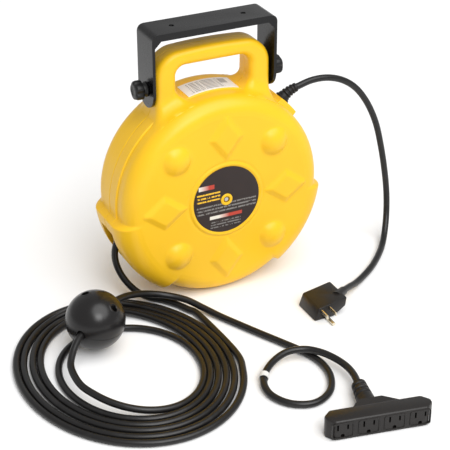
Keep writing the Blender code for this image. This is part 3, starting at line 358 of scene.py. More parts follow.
def feed(tree, socket, value):
    """Links a wire to a socket, or sets a plain value on it."""
    if isinstance(value, Wire):
        tree.links.new(value.socket, socket)
    else:
        socket.default_value = value


class Wire:
    """A shader socket that can be used in sums, so that an expression adds its Math nodes."""

    def __init__(self, tree, socket):
        self.tree = tree
        self.socket = socket

    def _with(self, operation, *values, clamp=False):
        math_node = self.tree.nodes.new("ShaderNodeMath")
        math_node.operation = operation
        math_node.use_clamp = clamp
        for socket, value in zip(math_node.inputs, values):
            feed(self.tree, socket, value)
        return Wire(self.tree, math_node.outputs[0])

    def __add__(self, other):
        return self._with("ADD", self, other)

    __radd__ = __add__

    def __sub__(self, other):
        return self._with("SUBTRACT", self, other)

    def __rsub__(self, other):
        return self._with("SUBTRACT", other, self)

    def __mul__(self, other):
        return self._with("MULTIPLY", self, other)

    __rmul__ = __mul__

    def __truediv__(self, other):
        return self._with("DIVIDE", self, other)

    def __rtruediv__(self, other):
        return self._with("DIVIDE", other, self)

    def __pow__(self, other):
        return self._with("POWER", self, other)

    def __abs__(self):
        return self._with("ABSOLUTE", self)

    def sine(self):
        return self._with("SINE", self)

    def lower(self, other):
        return self._with("MINIMUM", self, other)

    def clamped(self):
        return self._with("ADD", self, 0.0, clamp=True)

    def rises(self, low, high):
        """0 below low, 1 above high, a straight slope between."""
        return ((self - low) / (high - low)).clamped()

    def falls(self, low, high):
        return 1 - self.rises(low, high)


class Finish:
    """A material and the few ways that its nodes are made."""

    def __init__(self, name, colour, roughness, metallic=0.0, coat=0.0, specular=0.5):
        self.material = bpy.data.materials.new(name)
        self.material.use_nodes = True
        self.tree = self.material.node_tree
        self.shader = self.tree.nodes["Principled BSDF"]
        self.set("Base Color", (*colour, 1.0))
        self.set("Roughness", roughness)
        self.set("Metallic", metallic)
        self.set("Coat Weight", coat)
        self.set("Coat Roughness", 0.1)
        self.set("Specular IOR Level", specular)
        self.material.diffuse_color = (*colour, 1.0)

    def set(self, socket, value):
        """Links a wire to one of the shader's sockets, or sets a plain value on it."""
        feed(self.tree, self.shader.inputs[socket], value)

    def node(self, kind, sockets=None, output=0, **settings):
        """A node of a type, with its settings, then the values or wires of its sockets."""
        made = self.tree.nodes.new(kind)
        for key, value in settings.items():
            setattr(made, key, value)
        for key, value in (sockets or {}).items():
            feed(self.tree, made.inputs[key], value)
        return Wire(self.tree, made.outputs[output])

    def place(self):
        """Where a point lies in the frame, in metres."""
        return self.node("ShaderNodeTexCoord", output="Object")

    def along(self):
        """A cord's own map: the share of a turn round it, and the metres along it."""
        return self.node("ShaderNodeTexCoord", output="UV")

    def scaled(self, place, scale):
        """A vector with each part multiplied."""
        return self.node("ShaderNodeVectorMath", {0: place, 1: scale}, operation="MULTIPLY")

    def parts(self, place):
        """A vector's three parts."""
        split = self.node("ShaderNodeSeparateXYZ", {0: place}).socket.node
        return [Wire(self.tree, out) for out in split.outputs]

    def noise(self, scale, detail=3.0, roughness=0.5, place=None):
        """Fractal noise from 0 to 1, with about as many lumps to the metre as its scale."""
        sockets = {"Vector": place or self.place(), "Scale": scale, "Detail": detail, "Roughness": roughness}
        return self.node("ShaderNodeTexNoise", sockets)

    def mix(self, share, first, second):
        """A colour between two colours; a plain colour has three parts."""
        first, second = (value if isinstance(value, Wire) else (*value, 1.0) for value in (first, second))
        return self.node("ShaderNodeMix", {0: share, 6: first, 7: second}, output=2, data_type="RGBA")

    def bump(self, height, distance):
        """Raises the surface by height times distance in metres."""
        self.set("Normal", self.node("ShaderNodeBump", {"Height": height, "Distance": distance}))


def moulded(name, colour, roughness, grain=0.00004, deeper=0.90, **more):
    """Moulded plastic: a fine eroded grain, slow changes of shade and gloss, and faint rubbed patches."""
    made = Finish(name, colour, roughness, **more)
    slow, fine = made.noise(9.0, 2.0), made.noise(1400.0, 2.0)
    dark = tuple(c * deeper for c in colour)
    made.set("Base Color", made.mix(slow.rises(0.35, 0.70), dark, colour))
    rubbed = made.noise(38.0, 4.0, 0.6).rises(0.55, 0.75)
    made.set("Roughness", roughness + 0.10 * (slow - 0.5) - 0.05 * rubbed + 0.05 * (fine - 0.5))
    made.bump(fine, grain)
    return made


def metal(name, colour, roughness, lengthwise=(900.0, 60.0, 900.0)):
    """Bright metal with fine drawn lines and a few dull patches."""
    made = Finish(name, colour, roughness, metallic=1.0)
    lines = made.noise(1.0, 2.0, place=made.scaled(made.place(), lengthwise))
    dull = made.noise(60.0, 3.0).rises(0.5, 0.75)
    made.set("Base Color", made.mix(dull, colour, tuple(c * 0.78 for c in colour)))
    made.set("Roughness", roughness + 0.18 * (lines - 0.5) + 0.12 * dull)
    made.bump(lines, 0.00002)
    return made


def gloss_paint(name, colour):
    """Thick black paint: an orange-peel skin, dust in the coat and a duller look where it is handled."""
    made = Finish(name, colour, 0.30, coat=0.12, specular=0.25)
    peel, dust = made.noise(260.0, 2.0), made.noise(25.0, 4.0, 0.6)
    made.set("Base Color", made.mix(dust.rises(0.45, 0.8), colour, tuple(c * 1.5 + 0.001 for c in colour)))
    made.set("Roughness", 0.27 + 0.14 * (dust - 0.5))
    made.bump(peel, 0.00003)
    return made


def cord_jacket(name, colour):
    """Extruded vinyl: faint long drawing lines, the slight roll of the wires under it, and scuffs."""
    made = Finish(name, colour, 0.36, specular=0.40)
    turn, far, _ = made.parts(made.along())
    lines = made.noise(1.0, 2.0, place=made.scaled(made.along(), (34.0, 9.0, 1.0)))
    roll = (2 * math.pi * (2 * turn + 22 * far)).sine()
    scuffs = made.noise(55.0, 4.0, 0.62).rises(0.56, 0.74)
    made.set("Base Color", made.mix(scuffs * 0.5, colour, tuple(c * 2.2 + 0.004 for c in colour)))
    made.set("Roughness", 0.34 + 0.14 * scuffs + 0.08 * (lines - 0.5))
    made.bump(0.5 * roll + 0.5 * lines + 0.3 * made.noise(1500.0, 1.0), 0.00006)
    return made


def rectangle(across, up, middle, half, soft=0.0003):
    """1 inside an upright rectangle and 0 outside it, with a thin soft edge."""
    wide = (half[0] - abs(across - middle[0])) / soft
    tall = (half[1] - abs(up - middle[1])) / soft
    return wide.lower(tall).clamped()


def print_rows(made, across, up, middle, half, rows, share, letters=420.0):
    """Rows of small marks that read as lettering from afar: a broken noise inside even rows.

    A higher share leaves fewer marks, and letters is how many of them there are to the metre.
    """
    pitch = 2 * half[1] / rows
    inside = rectangle(across, up, middle, half)
    wave = ((up - (middle[1] - half[1])) * (2 * math.pi / pitch) - math.pi / 2).sine().rises(-0.1, 0.3)
    broken = made.noise(1.0, 1.0, place=made.scaled(made.place(), (letters, 0.0, letters * 0.6)))
    return inside * wave * broken.rises(share - 0.06, share + 0.02)


def disc_label():
    """The round front label: near black, with generic bars and rows of marks printed on it."""
    black = (0.020, 0.013, 0.012)
    made = Finish("printed disc", black, 0.42, specular=0.3)
    across, _, height = made.parts(made.place())
    up = height - AXIS_Z
    red, cream, yellow, grey = (0.45, 0.05, 0.03), (0.72, 0.68, 0.60), (0.80, 0.46, 0.03), (0.20, 0.19, 0.18)
    colour = made.mix(made.noise(40.0, 3.0), black, tuple(c * 1.5 for c in black))
    bars = (  # each one's middle, its half size, and where its cream fades to red
        ((-0.0300, 0.0235), (0.0118, 0.0034), (-0.040, -0.026)),
        ((-0.0010, -0.0240), (0.0245, 0.0027), (-0.012, 0.004)),
    )
    for middle, half, fade in bars:
        bar = rectangle(across, up, middle, half)
        colour = made.mix(bar, colour, made.mix(across.rises(*fade), cream, red))
    texts = (  # each one's middle, its half size, how sparse it is, its strength and its ink
        ((-0.0270, 0.0085), (0.0175, 0.0078), 0.43, 1.0, yellow),
        ((0.0, -0.0105), (0.0450, 0.0075), 0.45, 1.0, grey),
        ((-0.0015, -0.0355), (0.0230, 0.0060), 0.46, 0.9, grey),
    )
    for middle, half, share, strength, ink in texts:
        marks = print_rows(made, across, up, middle, half, 3, share)
        colour = made.mix(marks * strength, colour, ink)
    made.set("Base Color", colour)
    made.set("Roughness", 0.36 + 0.16 * made.noise(70.0, 3.0))
    made.bump(made.noise(600.0, 2.0), 0.00002)
    return made


def rating_label():
    """The foil label on top of the drum: silver white with grey rows of marks."""
    silver = (0.80, 0.80, 0.79)
    made = Finish("foil label", silver, 0.34, metallic=0.2)
    across, deep, _ = made.parts(made.place())
    rows = print_rows(made, across, deep, (-0.004, 0.0), (0.0240, 0.0150), 7, 0.47, 300.0)
    box = rectangle(across, deep, (0.0235, 0.006), (0.0055, 0.0080))
    colour = made.mix((rows * 0.75 + box * 0.6).clamped(), silver, (0.10, 0.10, 0.10))
    made.set("Base Color", made.mix(made.noise(60.0).rises(0.5, 0.8) * 0.3, colour, (0.45, 0.44, 0.40)))
    made.set("Roughness", 0.26 + 0.2 * made.noise(45.0, 3.0))
    made.bump(made.noise(120.0, 2.0), 0.00003)
    return made


def case_yellow(colour):
    """The case's yellow, with painted shade deep inside the cord's mouth: a dark red orange that stands in
    for the shadow there.

    The mouth's inside lies under the lobe's skin on the left, between two heights and near the seam.
    """
    made = moulded("yellow case", colour, 0.36, 0.000035, 0.93, specular=0.35)
    mouth_painted_shade = (0.33, 0.045, 0.008)
    across, deep, height = made.parts(made.place())
    up = height - AXIS_Z
    radius = (across * across + up * up) ** 0.5
    left = across.falls(-0.051, -0.050)
    under_skin = radius.falls(LOBE_R - 0.012, LOBE_R - 0.004) * radius.rises(0.1335, 0.1345)
    mouth = left * under_skin * up.rises(-0.088, -0.080) * up.falls(-0.034, -0.030)
    mouth = mouth * abs(deep).falls(0.0195, 0.0210)
    shade = made.shader.inputs["Base Color"].links[0].from_socket
    # painted shade: the mouth's inside is coloured dark red orange for the shadow deep in the slot
    made.set("Base Color", made.mix(mouth, Wire(made.tree, shade), mouth_painted_shade))
    return made


FINISHES = {}  # each finish's slot and material, by its name


def make_finishes(options):
    """Every finish with its name and the slot that it fills, from the sidebar's colours."""
    dark, soft, ball = (0.008, 0.008, 0.008), (0.010, 0.009, 0.009), (0.009, 0.008, 0.008)
    rows = (
        ("case", "case_plastic", case_yellow(tuple(options.case_colour))),
        ("bracket", "bracket_paint", gloss_paint("black bracket paint", tuple(options.bracket_colour))),
        ("knob", "knob_plastic", moulded("black knob plastic", dark, 0.38, 0.00005, 0.8, specular=0.3)),
        ("black", "moulded_black",
         moulded("black moulded plastic", (0.014, 0.012, 0.011), 0.36, 0.00005, 0.8, specular=0.35)),
        ("soft", "soft_black", moulded("soft black vinyl", soft, 0.45, 0.00006, 0.8, specular=0.3)),
        ("ball", "moulded_black", moulded("grey black ball", ball, 0.26, 0.00004, 0.85, specular=0.38)),
        ("jacket", "cord_jacket", cord_jacket("cord jacket", tuple(options.cord_colour))),
        ("brass", "brass", metal("nickelled brass", (0.80, 0.73, 0.58), 0.26)),
        ("steel", "steel", metal("zinc plated steel", (0.60, 0.60, 0.62), 0.34)),
        ("spring", "spring_steel", metal("blued spring steel", (0.22, 0.23, 0.27), 0.32)),
        ("spool", "spool_plastic", moulded("grey spool plastic", (0.09, 0.09, 0.095), 0.45)),
        ("carbon", "carbon", moulded("carbon brush", (0.03, 0.03, 0.032), 0.6, 0.00008)),
        ("tag", "tag_white", moulded("white tape", (0.78, 0.78, 0.75), 0.5, 0.00003)),
        ("disc_label", "disc_label", disc_label()),
        ("rating_label", "rating_label", rating_label()),
    )
    FINISHES.update({name: (slot, made.material) for name, slot, made in rows})


# ------------------------------------------------------------------ case

def between(angle, edges, soft):
    """1 between two angles in degrees and 0 outside, with a soft step at each."""
    rising = smoothstep(edges[0] - soft, edges[0] + soft, angle)
    return rising * step_down(edges[1] - soft, edges[1] + soft, angle)


def mirrored(edges):
    """The same span of angles on the other side of the vertical."""
    return (-180.0 - edges[1], -180.0 - edges[0])


def face_height(x, z):
    """How far the front face stands out: four domes, four raised rhombi and the label's rim ring.

    A dome is the cap of a sphere of radius (r^2 + h^2) / 2h. A rhombus is a flat top over four
    slopes, its height following |u| / long + |v| / wide, with its ridges and edges rounded.
    """
    slope_share, ridge_soft, top_soft, foot_soft = 0.36, 0.0008, 0.012, 0.07
    sphere = (DOME_R**2 + DOME_RISE**2) / (2 * DOME_RISE)
    near = np.hypot(np.abs(x) - DOME_AT, np.abs(z) - DOME_AT)
    cap = np.sqrt(np.maximum(sphere**2 - near**2, 0.0)) - (sphere - DOME_RISE)
    height = soft_above(np.where(near < DOME_R * 1.3, cap, -0.01), 0.0014)
    share = np.ones_like(x)
    for along, across in ((x, z), (z, x)):
        long_way = np.hypot(np.abs(along) - DIAMOND_AT, ridge_soft) / DIAMOND_LONG
        share = np.minimum(share, long_way + np.hypot(across, ridge_soft) / DIAMOND_WIDE)
    slope = (1.0 - share) / slope_share
    flat = 0.5 * (slope + 1 - np.sqrt((slope - 1) ** 2 + top_soft))
    height = height + DIAMOND_RISE * soft_above(flat, foot_soft)
    radius = np.hypot(x, z)
    rim = smoothstep(LABEL_R + 0.0004, LABEL_R + 0.0011, radius) * step_down(0.0535, 0.0552, radius)
    groove = smoothstep(0.0545, 0.0556, radius) * step_down(0.0570, 0.0582, radius)
    return height + 0.0012 * rim - 0.0006 * groove


def rear_height(x, z):
    """The rear face's round boss, with a shallow dish in its middle and twelve faint ribs round it."""
    radius = np.hypot(x, z)
    boss = REAR_BOSS_RISE * step_down(REAR_BOSS_R - 0.006, REAR_BOSS_R, radius)
    dish = 0.0025 * step_down(0.036, 0.040, radius)
    spokes = smoothstep(0.3, 0.8, np.cos(12 * np.arctan2(z, x)))
    ribs = 0.0010 * spokes * smoothstep(0.070, 0.074, radius) * step_down(0.106, 0.112, radius)
    return boss - dish + ribs


def drum_half(side):
    """One half of the drum, from the middle of its inside, over the seam, to the middle of its face.

    It is a grid of angle and profile. The profile's radius and fillet widen over the two lower
    lobes, the band stands out round its middle, the lug stands out under the lead's gland, and
    the cord's mouth goes in. side is -1 for the front and 1 for the rear.
    """
    steps = [np.linspace(-180.0, 180.0, 421)[:-1]]
    for edge in (*LOBE_EDGES, *mirrored(LOBE_EDGES), *LUG_EDGES, *MOUTH_EDGES):
        steps.append(np.linspace(edge - 2.0, edge + 2.0, 13))
    angle = np.unique(np.round((np.concatenate(steps) + 180.0) % 360.0 - 180.0, 4))[None, :]
    lobe = between(angle, LOBE_EDGES, 1.3) + between(angle, mirrored(LOBE_EDGES), 1.3)
    reach = DRUM_R + (LOBE_R - DRUM_R) * lobe
    fillet = RIM_FILLET + (LOBE_FILLET - RIM_FILLET) * lobe
    flat = HALF_DEPTH - fillet

    # depths from the seam in millimetres, close together where the seam, mouth, band and lug end
    wall = np.array([0.1, 0.45, 0.8, 1.4, 3, 5, 7, 9, 11, 12, 13, 15, 17, 18.2, 18.6, 18.9, 19.2, 19.5,
                     19.8, 20.2, 20.6, 21, 21.6, 22, 22.4, 23, 24, 25])[:, None] * 0.001
    more = wall[-1] + (flat - wall[-1]) * np.linspace(0, 1, 5)[1:, None]
    depth = np.vstack([np.broadcast_to(wall, (len(wall), angle.shape[1])), more])
    band = (BAND_R - DRUM_R) * (1 - lobe) * step_down(BAND_HALF, BAND_HALF + 0.0012, depth)
    lug = (LUG_R - DRUM_R) * between(angle, LUG_EDGES, 0.35)
    lug = lug * step_down(LUG_HALF - 0.0006, LUG_HALF + 0.0006, depth)
    seam = 0.0007 * step_down(0.0003, 0.0011, depth)
    mouth = between(angle, MOUTH_EDGES, 0.45)
    cut = MOUTH_DEEP * mouth * step_down(MOUTH_HALF - 0.0005, MOUTH_HALF + 0.0005, depth)
    side_radius = reach + np.maximum(band, lug) - seam - cut

    bend = np.radians(np.linspace(0, 90, 17))[1:, None]
    bend_radius = reach - fillet + fillet * np.cos(bend)
    bend_depth = flat + fillet * np.sin(bend)
    inwards = np.linspace(1, 0, 92)[1:, None]
    face_radius = (reach - fillet) * inwards
    face_x, face_z = face_radius * np.cos(np.radians(angle)), face_radius * np.sin(np.radians(angle))
    raised = face_height(face_x, face_z) if side < 0 else rear_height(face_x, face_z)
    face_depth = HALF_DEPTH + raised

    inner_radius = np.array([[0.0], [0.04], [0.09], [0.122], [0.136], [0.1405]]) * np.ones_like(angle)
    inner_depth = np.array([[1.0], [1.0], [1.0], [0.97], [0.80], [0.0]]) * (HALF_DEPTH - WALL)
    inner_depth = inner_depth * np.ones_like(angle) + 0.0001
    inner_radius[3:] = inner_radius[3:] * (1 - mouth * 0.09)

    radius = np.vstack([inner_radius, side_radius, bend_radius, face_radius])
    depth = np.vstack([inner_depth, depth, bend_depth, face_depth])
    turn = np.radians(angle)
    points = xyz(radius * np.cos(turn), side * depth, AXIS_Z + radius * np.sin(turn))

    def kept(centres):
        """Leaves a hole round the axle in the front face, and one over each screw's well in the rear."""
        if side < 0:
            return (np.hypot(centres[:, 0], centres[:, 2] - AXIS_Z) > AXLE_HOLE_R) | (
                centres[:, 1] > 0.0005 - HALF_DEPTH)
        clear = np.ones(len(centres), bool)
        for post in POST_ANGLES:
            off = centres - on_wall(post, POST_AT)
            clear &= ~((np.hypot(off[:, 0], off[:, 2]) < WELL_HOLE_R) & (off[:, 1] > 0.030))
        return clear

    return surface(points, around_columns=True, keep=kept)


def corner_arc(centre, radius, first, last, count):
    """Points of a circle in the X-Z plane, from first to last degrees."""
    angle = np.radians(np.linspace(first, last, count))
    return np.stack([centre[0] + radius * np.cos(angle), centre[1] + radius * np.sin(angle)], axis=-1)


def edge_line(way, leg, blend, corner_z, corner_r):
    """The right half of one of the handle's edge lines, from inside the drum to the top's middle.

    The foot is an arc that touches the leg's straight side and the drum's round wall: its centre
    lies the blend's radius from the side and the drum's radius plus the blend's from the axis.
    way is 1 where the foot bends away from the handle's opening and -1 where it bends into it.
    """
    x = leg + way * blend
    z = AXIS_Z + math.sqrt((DRUM_R + blend) ** 2 - x**2)
    touch = way * 180.0 + math.degrees(math.atan2(z - AXIS_Z, x))
    foot = corner_arc((x, z), blend, touch, 90.0 + way * 90.0, 14)
    sunk = foot[:1] - 0.005 * unit(foot[:1] - np.array([0.0, AXIS_Z]))
    straight = np.stack([np.full(8, leg), np.linspace(z, corner_z, 10)[1:-1]], axis=-1)
    corner = corner_arc((leg - corner_r, corner_z), corner_r, 0, 90, 18)
    top = np.stack([np.linspace(leg - corner_r, 0.0, 12), np.full(12, corner_z + corner_r)], axis=-1)
    return np.vstack([sunk, foot, straight, corner, top[1:]])


def leg_edges():
    """The handle's outer and inner edge lines from the right foot to the left, station by station.

    The outer line's top is crowned: it rises by 1 - (x / half its width)^2 of the crown.
    """
    outer = edge_line(1, LEG_OUT, OUTER_BLEND, SHOULDER_Z, CORNER_R)
    inner = edge_line(-1, LEG_IN, INNER_BLEND, OPENING_TOP - OPENING_R, OPENING_R)
    crown = CROWN * (1 - (outer[:, 0] / (LEG_OUT - 0.012)) ** 2).clip(0, 1)
    outer[:, 1] = outer[:, 1] + crown * (outer[:, 1] > SHOULDER_Z)
    flip = np.array([-1.0, 1.0])
    return [np.vstack([line, line[-2::-1] * flip]) for line in (outer, inner)]


def handle_half(side):
    """One half of the handle: a section with rounded edges carried round the arch.

    Across the arch a point lies between the outer and the inner edge line. Its depth is the
    handle's, plus a quarter circle's worth where it comes down onto the drum, so that the face
    sweeps out onto the drum's wall.
    """
    outer, inner = leg_edges()
    width = np.linalg.norm(inner - outer, axis=1)[:, None]
    bend = np.radians(np.linspace(0, 90, 9))
    edge, rise = EDGE_R * (1 - np.cos(bend)), np.sin(bend)
    flat = np.linspace(0, 1, 8)[1:-1]
    low = np.concatenate([[0.0, 0.03, 0.07, 0.5], np.ones(24), [0.5, 0.07, 0.03, 0.0]])
    round_part = np.concatenate([[0.0] * 4, rise, np.ones(6), rise[::-1], [0.0] * 4])
    left = np.concatenate([[0.0003, 0.0, 0.0, 0.0], edge])[None, :] + 0 * width
    middle = EDGE_R + (width - 2 * EDGE_R) * flat[None, :]
    right = width - np.concatenate([edge[::-1], [0.0, 0.0, 0.0, 0.0003]])[None, :]
    across = np.hstack([left, middle, right]) / width
    plane = outer[:, None, :] + (inner - outer)[:, None, :] * across[:, :, None]
    above = np.hypot(plane[..., 0], plane[..., 1] - AXIS_Z) - DRUM_R
    inside = (FACE_BLEND - above).clip(0.0, FACE_BLEND)
    sweep = FACE_BLEND - np.sqrt(np.maximum(FACE_BLEND**2 - inside**2, 0.0))
    half = HANDLE_HALF_DEPTH + sweep
    depth = (half - EDGE_R) * low[None, :] + EDGE_R * round_part[None, :] + 0.0002
    points = xyz(plane[..., 0], side * depth, plane[..., 1])
    return surface(capped(points), around_columns=True)


def on_wall(angle, radius):
    """The place at an angle and a radius round the drum's axis, in the plane of the seam."""
    turn = math.radians(angle)
    return np.array([radius * math.cos(turn), 0.0, AXIS_Z + radius * math.sin(turn)])


def collar(middle, across, along, out, radii, rises, skin, bottom, count):
    """A screw well's collar: circles of growing radius that start at the well's bottom.

    A point is middle + radius * (cos * across + sin * along), and then goes out to skin(point)
    plus the circle's rise over the skin, or to the bottom for the first circle.
    """
    angle = around(count)[:, None, None]
    level = middle + np.array(radii)[None, :, None] * (np.cos(angle) * across + np.sin(angle) * along)
    height = skin(level) + np.array(rises)
    height[:, 0] = bottom
    return surface(level + height[..., None] * out, around_rows=True, around_columns=True)


def well_rings():
    """A collar round each rear screw's well, which follows the rear rim's fillet."""
    flat = HALF_DEPTH - RIM_FILLET

    def fillet(points):
        out = np.hypot(points[..., 0], points[..., 2] - AXIS_Z) - (DRUM_R - RIM_FILLET)
        return flat + np.sqrt(RIM_FILLET**2 - out.clip(0.0, RIM_FILLET) ** 2)

    radii = (0.0044, 0.0044, 0.0048, 0.0056, 0.0066, 0.0066)
    rises = (0.0, -0.0002, 0.0004, 0.0005, 0.0001, -0.004)
    x, y, z = np.eye(3)
    return [collar(on_wall(post, POST_AT), x, z, y, radii, rises, fillet, WELL_FLOOR, 32)
            for post in POST_ANGLES]


def label_disc():
    """A thin disc with a hole: a flat ring's profile turned round the drum's axis."""
    y = -HALF_DEPTH - 0.0002
    profile = [(0.0076, 0.0), (0.0076, 0.0004), (0.0080, 0.0005), (0.020, 0.0005), (0.035, 0.0005),
               (LABEL_R - 0.0008, 0.0005), (LABEL_R - 0.0003, 0.0004), (LABEL_R - 0.0003, 0.0)]
    return lathe(profile + profile[:1], (0, y, AXIS_Z), (0, -1, 0), 128)


def centre_ring():
    """The raised ring in the middle of the label: a rounded profile turned round the drum's axis."""
    profile = [(0.0046, 0.0), (0.0046, 0.0008), (0.0050, 0.0012), (0.0064, 0.0013), (0.0080, 0.0012),
               (0.0086, 0.0008), (0.0088, 0.0)]
    return lathe(profile + profile[:1], (0, -HALF_DEPTH - 0.0004, AXIS_Z), (0, -1, 0), 48)


def top_label_patch():
    """A thin patch bent round the top of the band: an arc of angles, by lines that run along Y."""
    turn = np.radians(np.linspace(75.5, 104.5, 41))[:, None]
    deep = np.concatenate([[-0.0185], np.linspace(-0.0183, 0.0183, 12), [0.0185]])[None, :]
    lift = BAND_R + 0.0003 * np.concatenate([[0.0], np.ones(12), [0.0]])[None, :]
    points = xyz(lift * np.cos(turn), deep + 0 * turn, AXIS_Z + lift * np.sin(turn))
    return surface(points)


# ------------------------------------------------------------------ knobs, gland and cords

def knob(side):
    """A five-lobed knob: a turned profile, less scoops of ((1 - cos 5a) / 2)^2.2 between its lobes."""
    start = side * (BRACKET_HALF + 0.0003)
    along = np.array([0, 0, 0.6, 2.6, 4.4, 5.2, 5.8, 6.6, 8.5, 11, 13.5, 15.4, 16.8, 17.6, 18.0, 18.0, 17.4,
                      17.2]) * 0.001
    reach = np.array([0, 9.6, 10.4, 9.0, 8.6, 9.8, 12.0, 13.1, 13.4, 13.5, 13.4, 13.0, 12.0, 10.4, 8.0, 6.2,
                      5.6, 0]) * 0.001
    lobed = smoothstep(0.0048, 0.0066, along) * step_down(0.0164, 0.0182, along)
    angle = around(120)
    wave = 0.5 - 0.5 * np.cos(KNOB_LOBES * angle)
    scoop = 0.0026 * wave[None, :] ** 2.2 * lobed[:, None]
    radius = (reach[:, None] - scoop).clip(0.0)
    points = xyz(start + side * along[:, None] + 0 * angle, radius * np.cos(angle),
                 PIVOT_Z + radius * np.sin(angle))
    return surface(points, around_columns=True)


def strain_relief_line():
    """The mains lead's boot: it leaves the gland along the drum's radius and bends level."""
    count = 25
    turn = np.radians(np.linspace(GLAND_AT, 13.0, count))
    step = BOOT_LONG / (count - 1)
    start = on_wall(GLAND_AT, LUG_R + 0.003)
    x = start[0] + np.concatenate([[0.0], np.cumsum(np.cos(turn[1:]) * step)])
    z = start[2] + np.concatenate([[0.0], np.cumsum(np.sin(turn[1:]) * step)])
    return xyz(x, 0.0 * x, z)


def boot_radii(line, first, last, rings, groove):
    """A straight taper along a line, with even grooves cut round it after its plain start."""
    share = np.linspace(0, 1, len(line))
    cut = groove * smoothstep(0.35, 0.75, np.cos(2 * math.pi * rings * share)) * smoothstep(0.06, 0.12, share)
    return first + (last - first) * share - cut


def coil_points():
    """The coil's route: an oval whose share of full size follows the list of quarter turns.

    A point is centre + half * share(t) * (cos a, sin a), with a falling by a turn for each turn,
    and the oval is a little longer along the slant.
    Between the quarters the share follows a cubic whose slopes match there. Twenty-four points a
    turn carry the curve. Every other turn is lifted a little where the strands lie over each
    other, and the last stretch climbs towards the ball.
    """
    crossing_at, crossing_wide, crossing_lift, slant, slant_at = 78.0, 26.0, 0.0045, 0.018, -38.0
    turn = np.arange(0.04, COIL_LAST, 1 / 24.0)
    angle = np.radians(COIL_FIRST - 360.0 * turn)
    share, slope = np.array(COIL_SHARE), np.gradient(np.array(COIL_SHARE))
    cell = np.clip((4 * turn).astype(int), 0, len(share) - 2)
    t = 4 * turn - cell
    size = (
        (2 * t**3 - 3 * t**2 + 1) * share[cell] + (t**3 - 2 * t**2 + t) * slope[cell]
        + (3 * t**2 - 2 * t**3) * share[cell + 1] + (t**3 - t**2) * slope[cell + 1]
    )
    size = size * (1 + slant * np.cos(2 * (angle - math.radians(slant_at))))
    x = COIL_AT[0] + COIL_HALF[0] * size * np.cos(angle)
    y = COIL_AT[1] + COIL_HALF[1] * size * np.sin(angle)
    from_crossing = (np.degrees(angle) % 360.0 - crossing_at) / crossing_wide
    lift = crossing_lift * np.exp(-(from_crossing**2)) * (np.floor(turn) % 2)
    climb = 0.0205 * smoothstep(COIL_LAST - 0.30, COIL_LAST + 0.07, turn)
    return xyz(x, y, CORD_R + 0.0003 + lift + climb)


def output_line():
    """The whole output cord: out of the mouth, round the coil, through the ball and on to the tap."""
    route = np.vstack([
        NEAR_ROUTE[:-1], coil_points(), RISE_ROUTE[1:],
        *(np.array(BALL_AT) + way * 0.020 * np.array(BALL_AXIS) for way in (-1, 1)),
        FAR_ROUTE,
    ])
    return smooth_line(route)


def ball_directions():
    """The stop ball's own directions: along the cord, across it from screw to screw, and up."""
    along, up = unit(np.array(BALL_AXIS)), unit(np.array(BALL_UP))
    across = unit(np.cross(up, along))
    return along, across, np.cross(along, across)


def ball_half(upper):
    """Half of the stop ball: a sphere's profile round the cord's bore, closed across the flat."""
    along, across, up = ball_directions()
    bore = CORD_R + 0.0005
    rim = np.radians(np.linspace(math.degrees(math.asin((bore + 0.0016) / BALL_R)), 90, 30))
    half = [(bore, 0.0), (bore, BALL_R * 0.955), *zip(BALL_R * np.sin(rim), BALL_R * np.cos(rim))]
    profile = half + [(r, -a) for r, a in reversed(half[:-1])]

    def clear_of_wells(centres):
        off = centres - np.array(BALL_AT)
        near = [np.hypot(off @ across - way * BALL_SCREW_AT, off @ along) < BALL_HOLE_R for way in (-1, 1)]
        return ~((near[0] | near[1]) & (off @ up > 0.010))

    first = 0.55 if upper else 180.55
    keep = clear_of_wells if upper else None
    return lathe(profile, BALL_AT, BALL_AXIS, 97, first, first + 178.9, side=across, keep=keep)


def ball_wells():
    """A collar round each of the ball's screw wells, which follows the sphere."""
    along, across, up = ball_directions()
    middle = np.array(BALL_AT)
    radii = (0.0043, 0.0043, 0.0047, 0.0056, 0.0066, 0.0066)
    rises = (0.0, 0.0, 0.0004, 0.0005, 0.0001, -0.004)

    def sphere(points):
        return np.sqrt(np.maximum(BALL_R**2 - ((points - middle) ** 2).sum(axis=-1), 0.0))

    return [collar(middle + way * BALL_SCREW_AT * across, across, along, up, radii, rises, sphere,
                   BALL_WELL_FLOOR, 40) for way in (-1, 1)]


# ------------------------------------------------------------------ plug and tap

def tap_frame(points):
    """Points in the tap's own place, turned and moved to where it lies."""
    turn = math.radians(TAP_TURN)
    x = points[..., 0] * math.cos(turn) - points[..., 1] * math.sin(turn) + TAP_AT[0]
    y = points[..., 0] * math.sin(turn) + points[..., 1] * math.cos(turn) + TAP_AT[1]
    return xyz(x, y, points[..., 2])


def face_frames():
    """Slightly raised frames round the four outlets.

    Each is carried round a rounded rectangle, whose corner is |cos|^0.22 of its half width by
    |sin|^0.22 of its half height.
    """
    angle = around(72)[:, None]
    shape_x, shape_z = (np.sign(wave) * np.abs(wave) ** 0.22 for wave in (np.cos(angle), np.sin(angle)))
    wide = np.array([0.0137, 0.0137, 0.0135, 0.0126, 0.0124, 0.0124])[None, :]
    out = np.array([-0.002, 0.0004, 0.0008, 0.0008, 0.0004, -0.002])[None, :]
    rings = []
    for i in range(4):
        x = (i - 1.5) * OUTLET_PITCH + shape_x * wide
        points = xyz(x, -TAP_HALF_DEEP - out, TAP_HIGH / 2 + shape_z * (wide - 0.0027))
        rings.append(surface(tap_frame(points), around_rows=True, around_columns=True))
    return rings


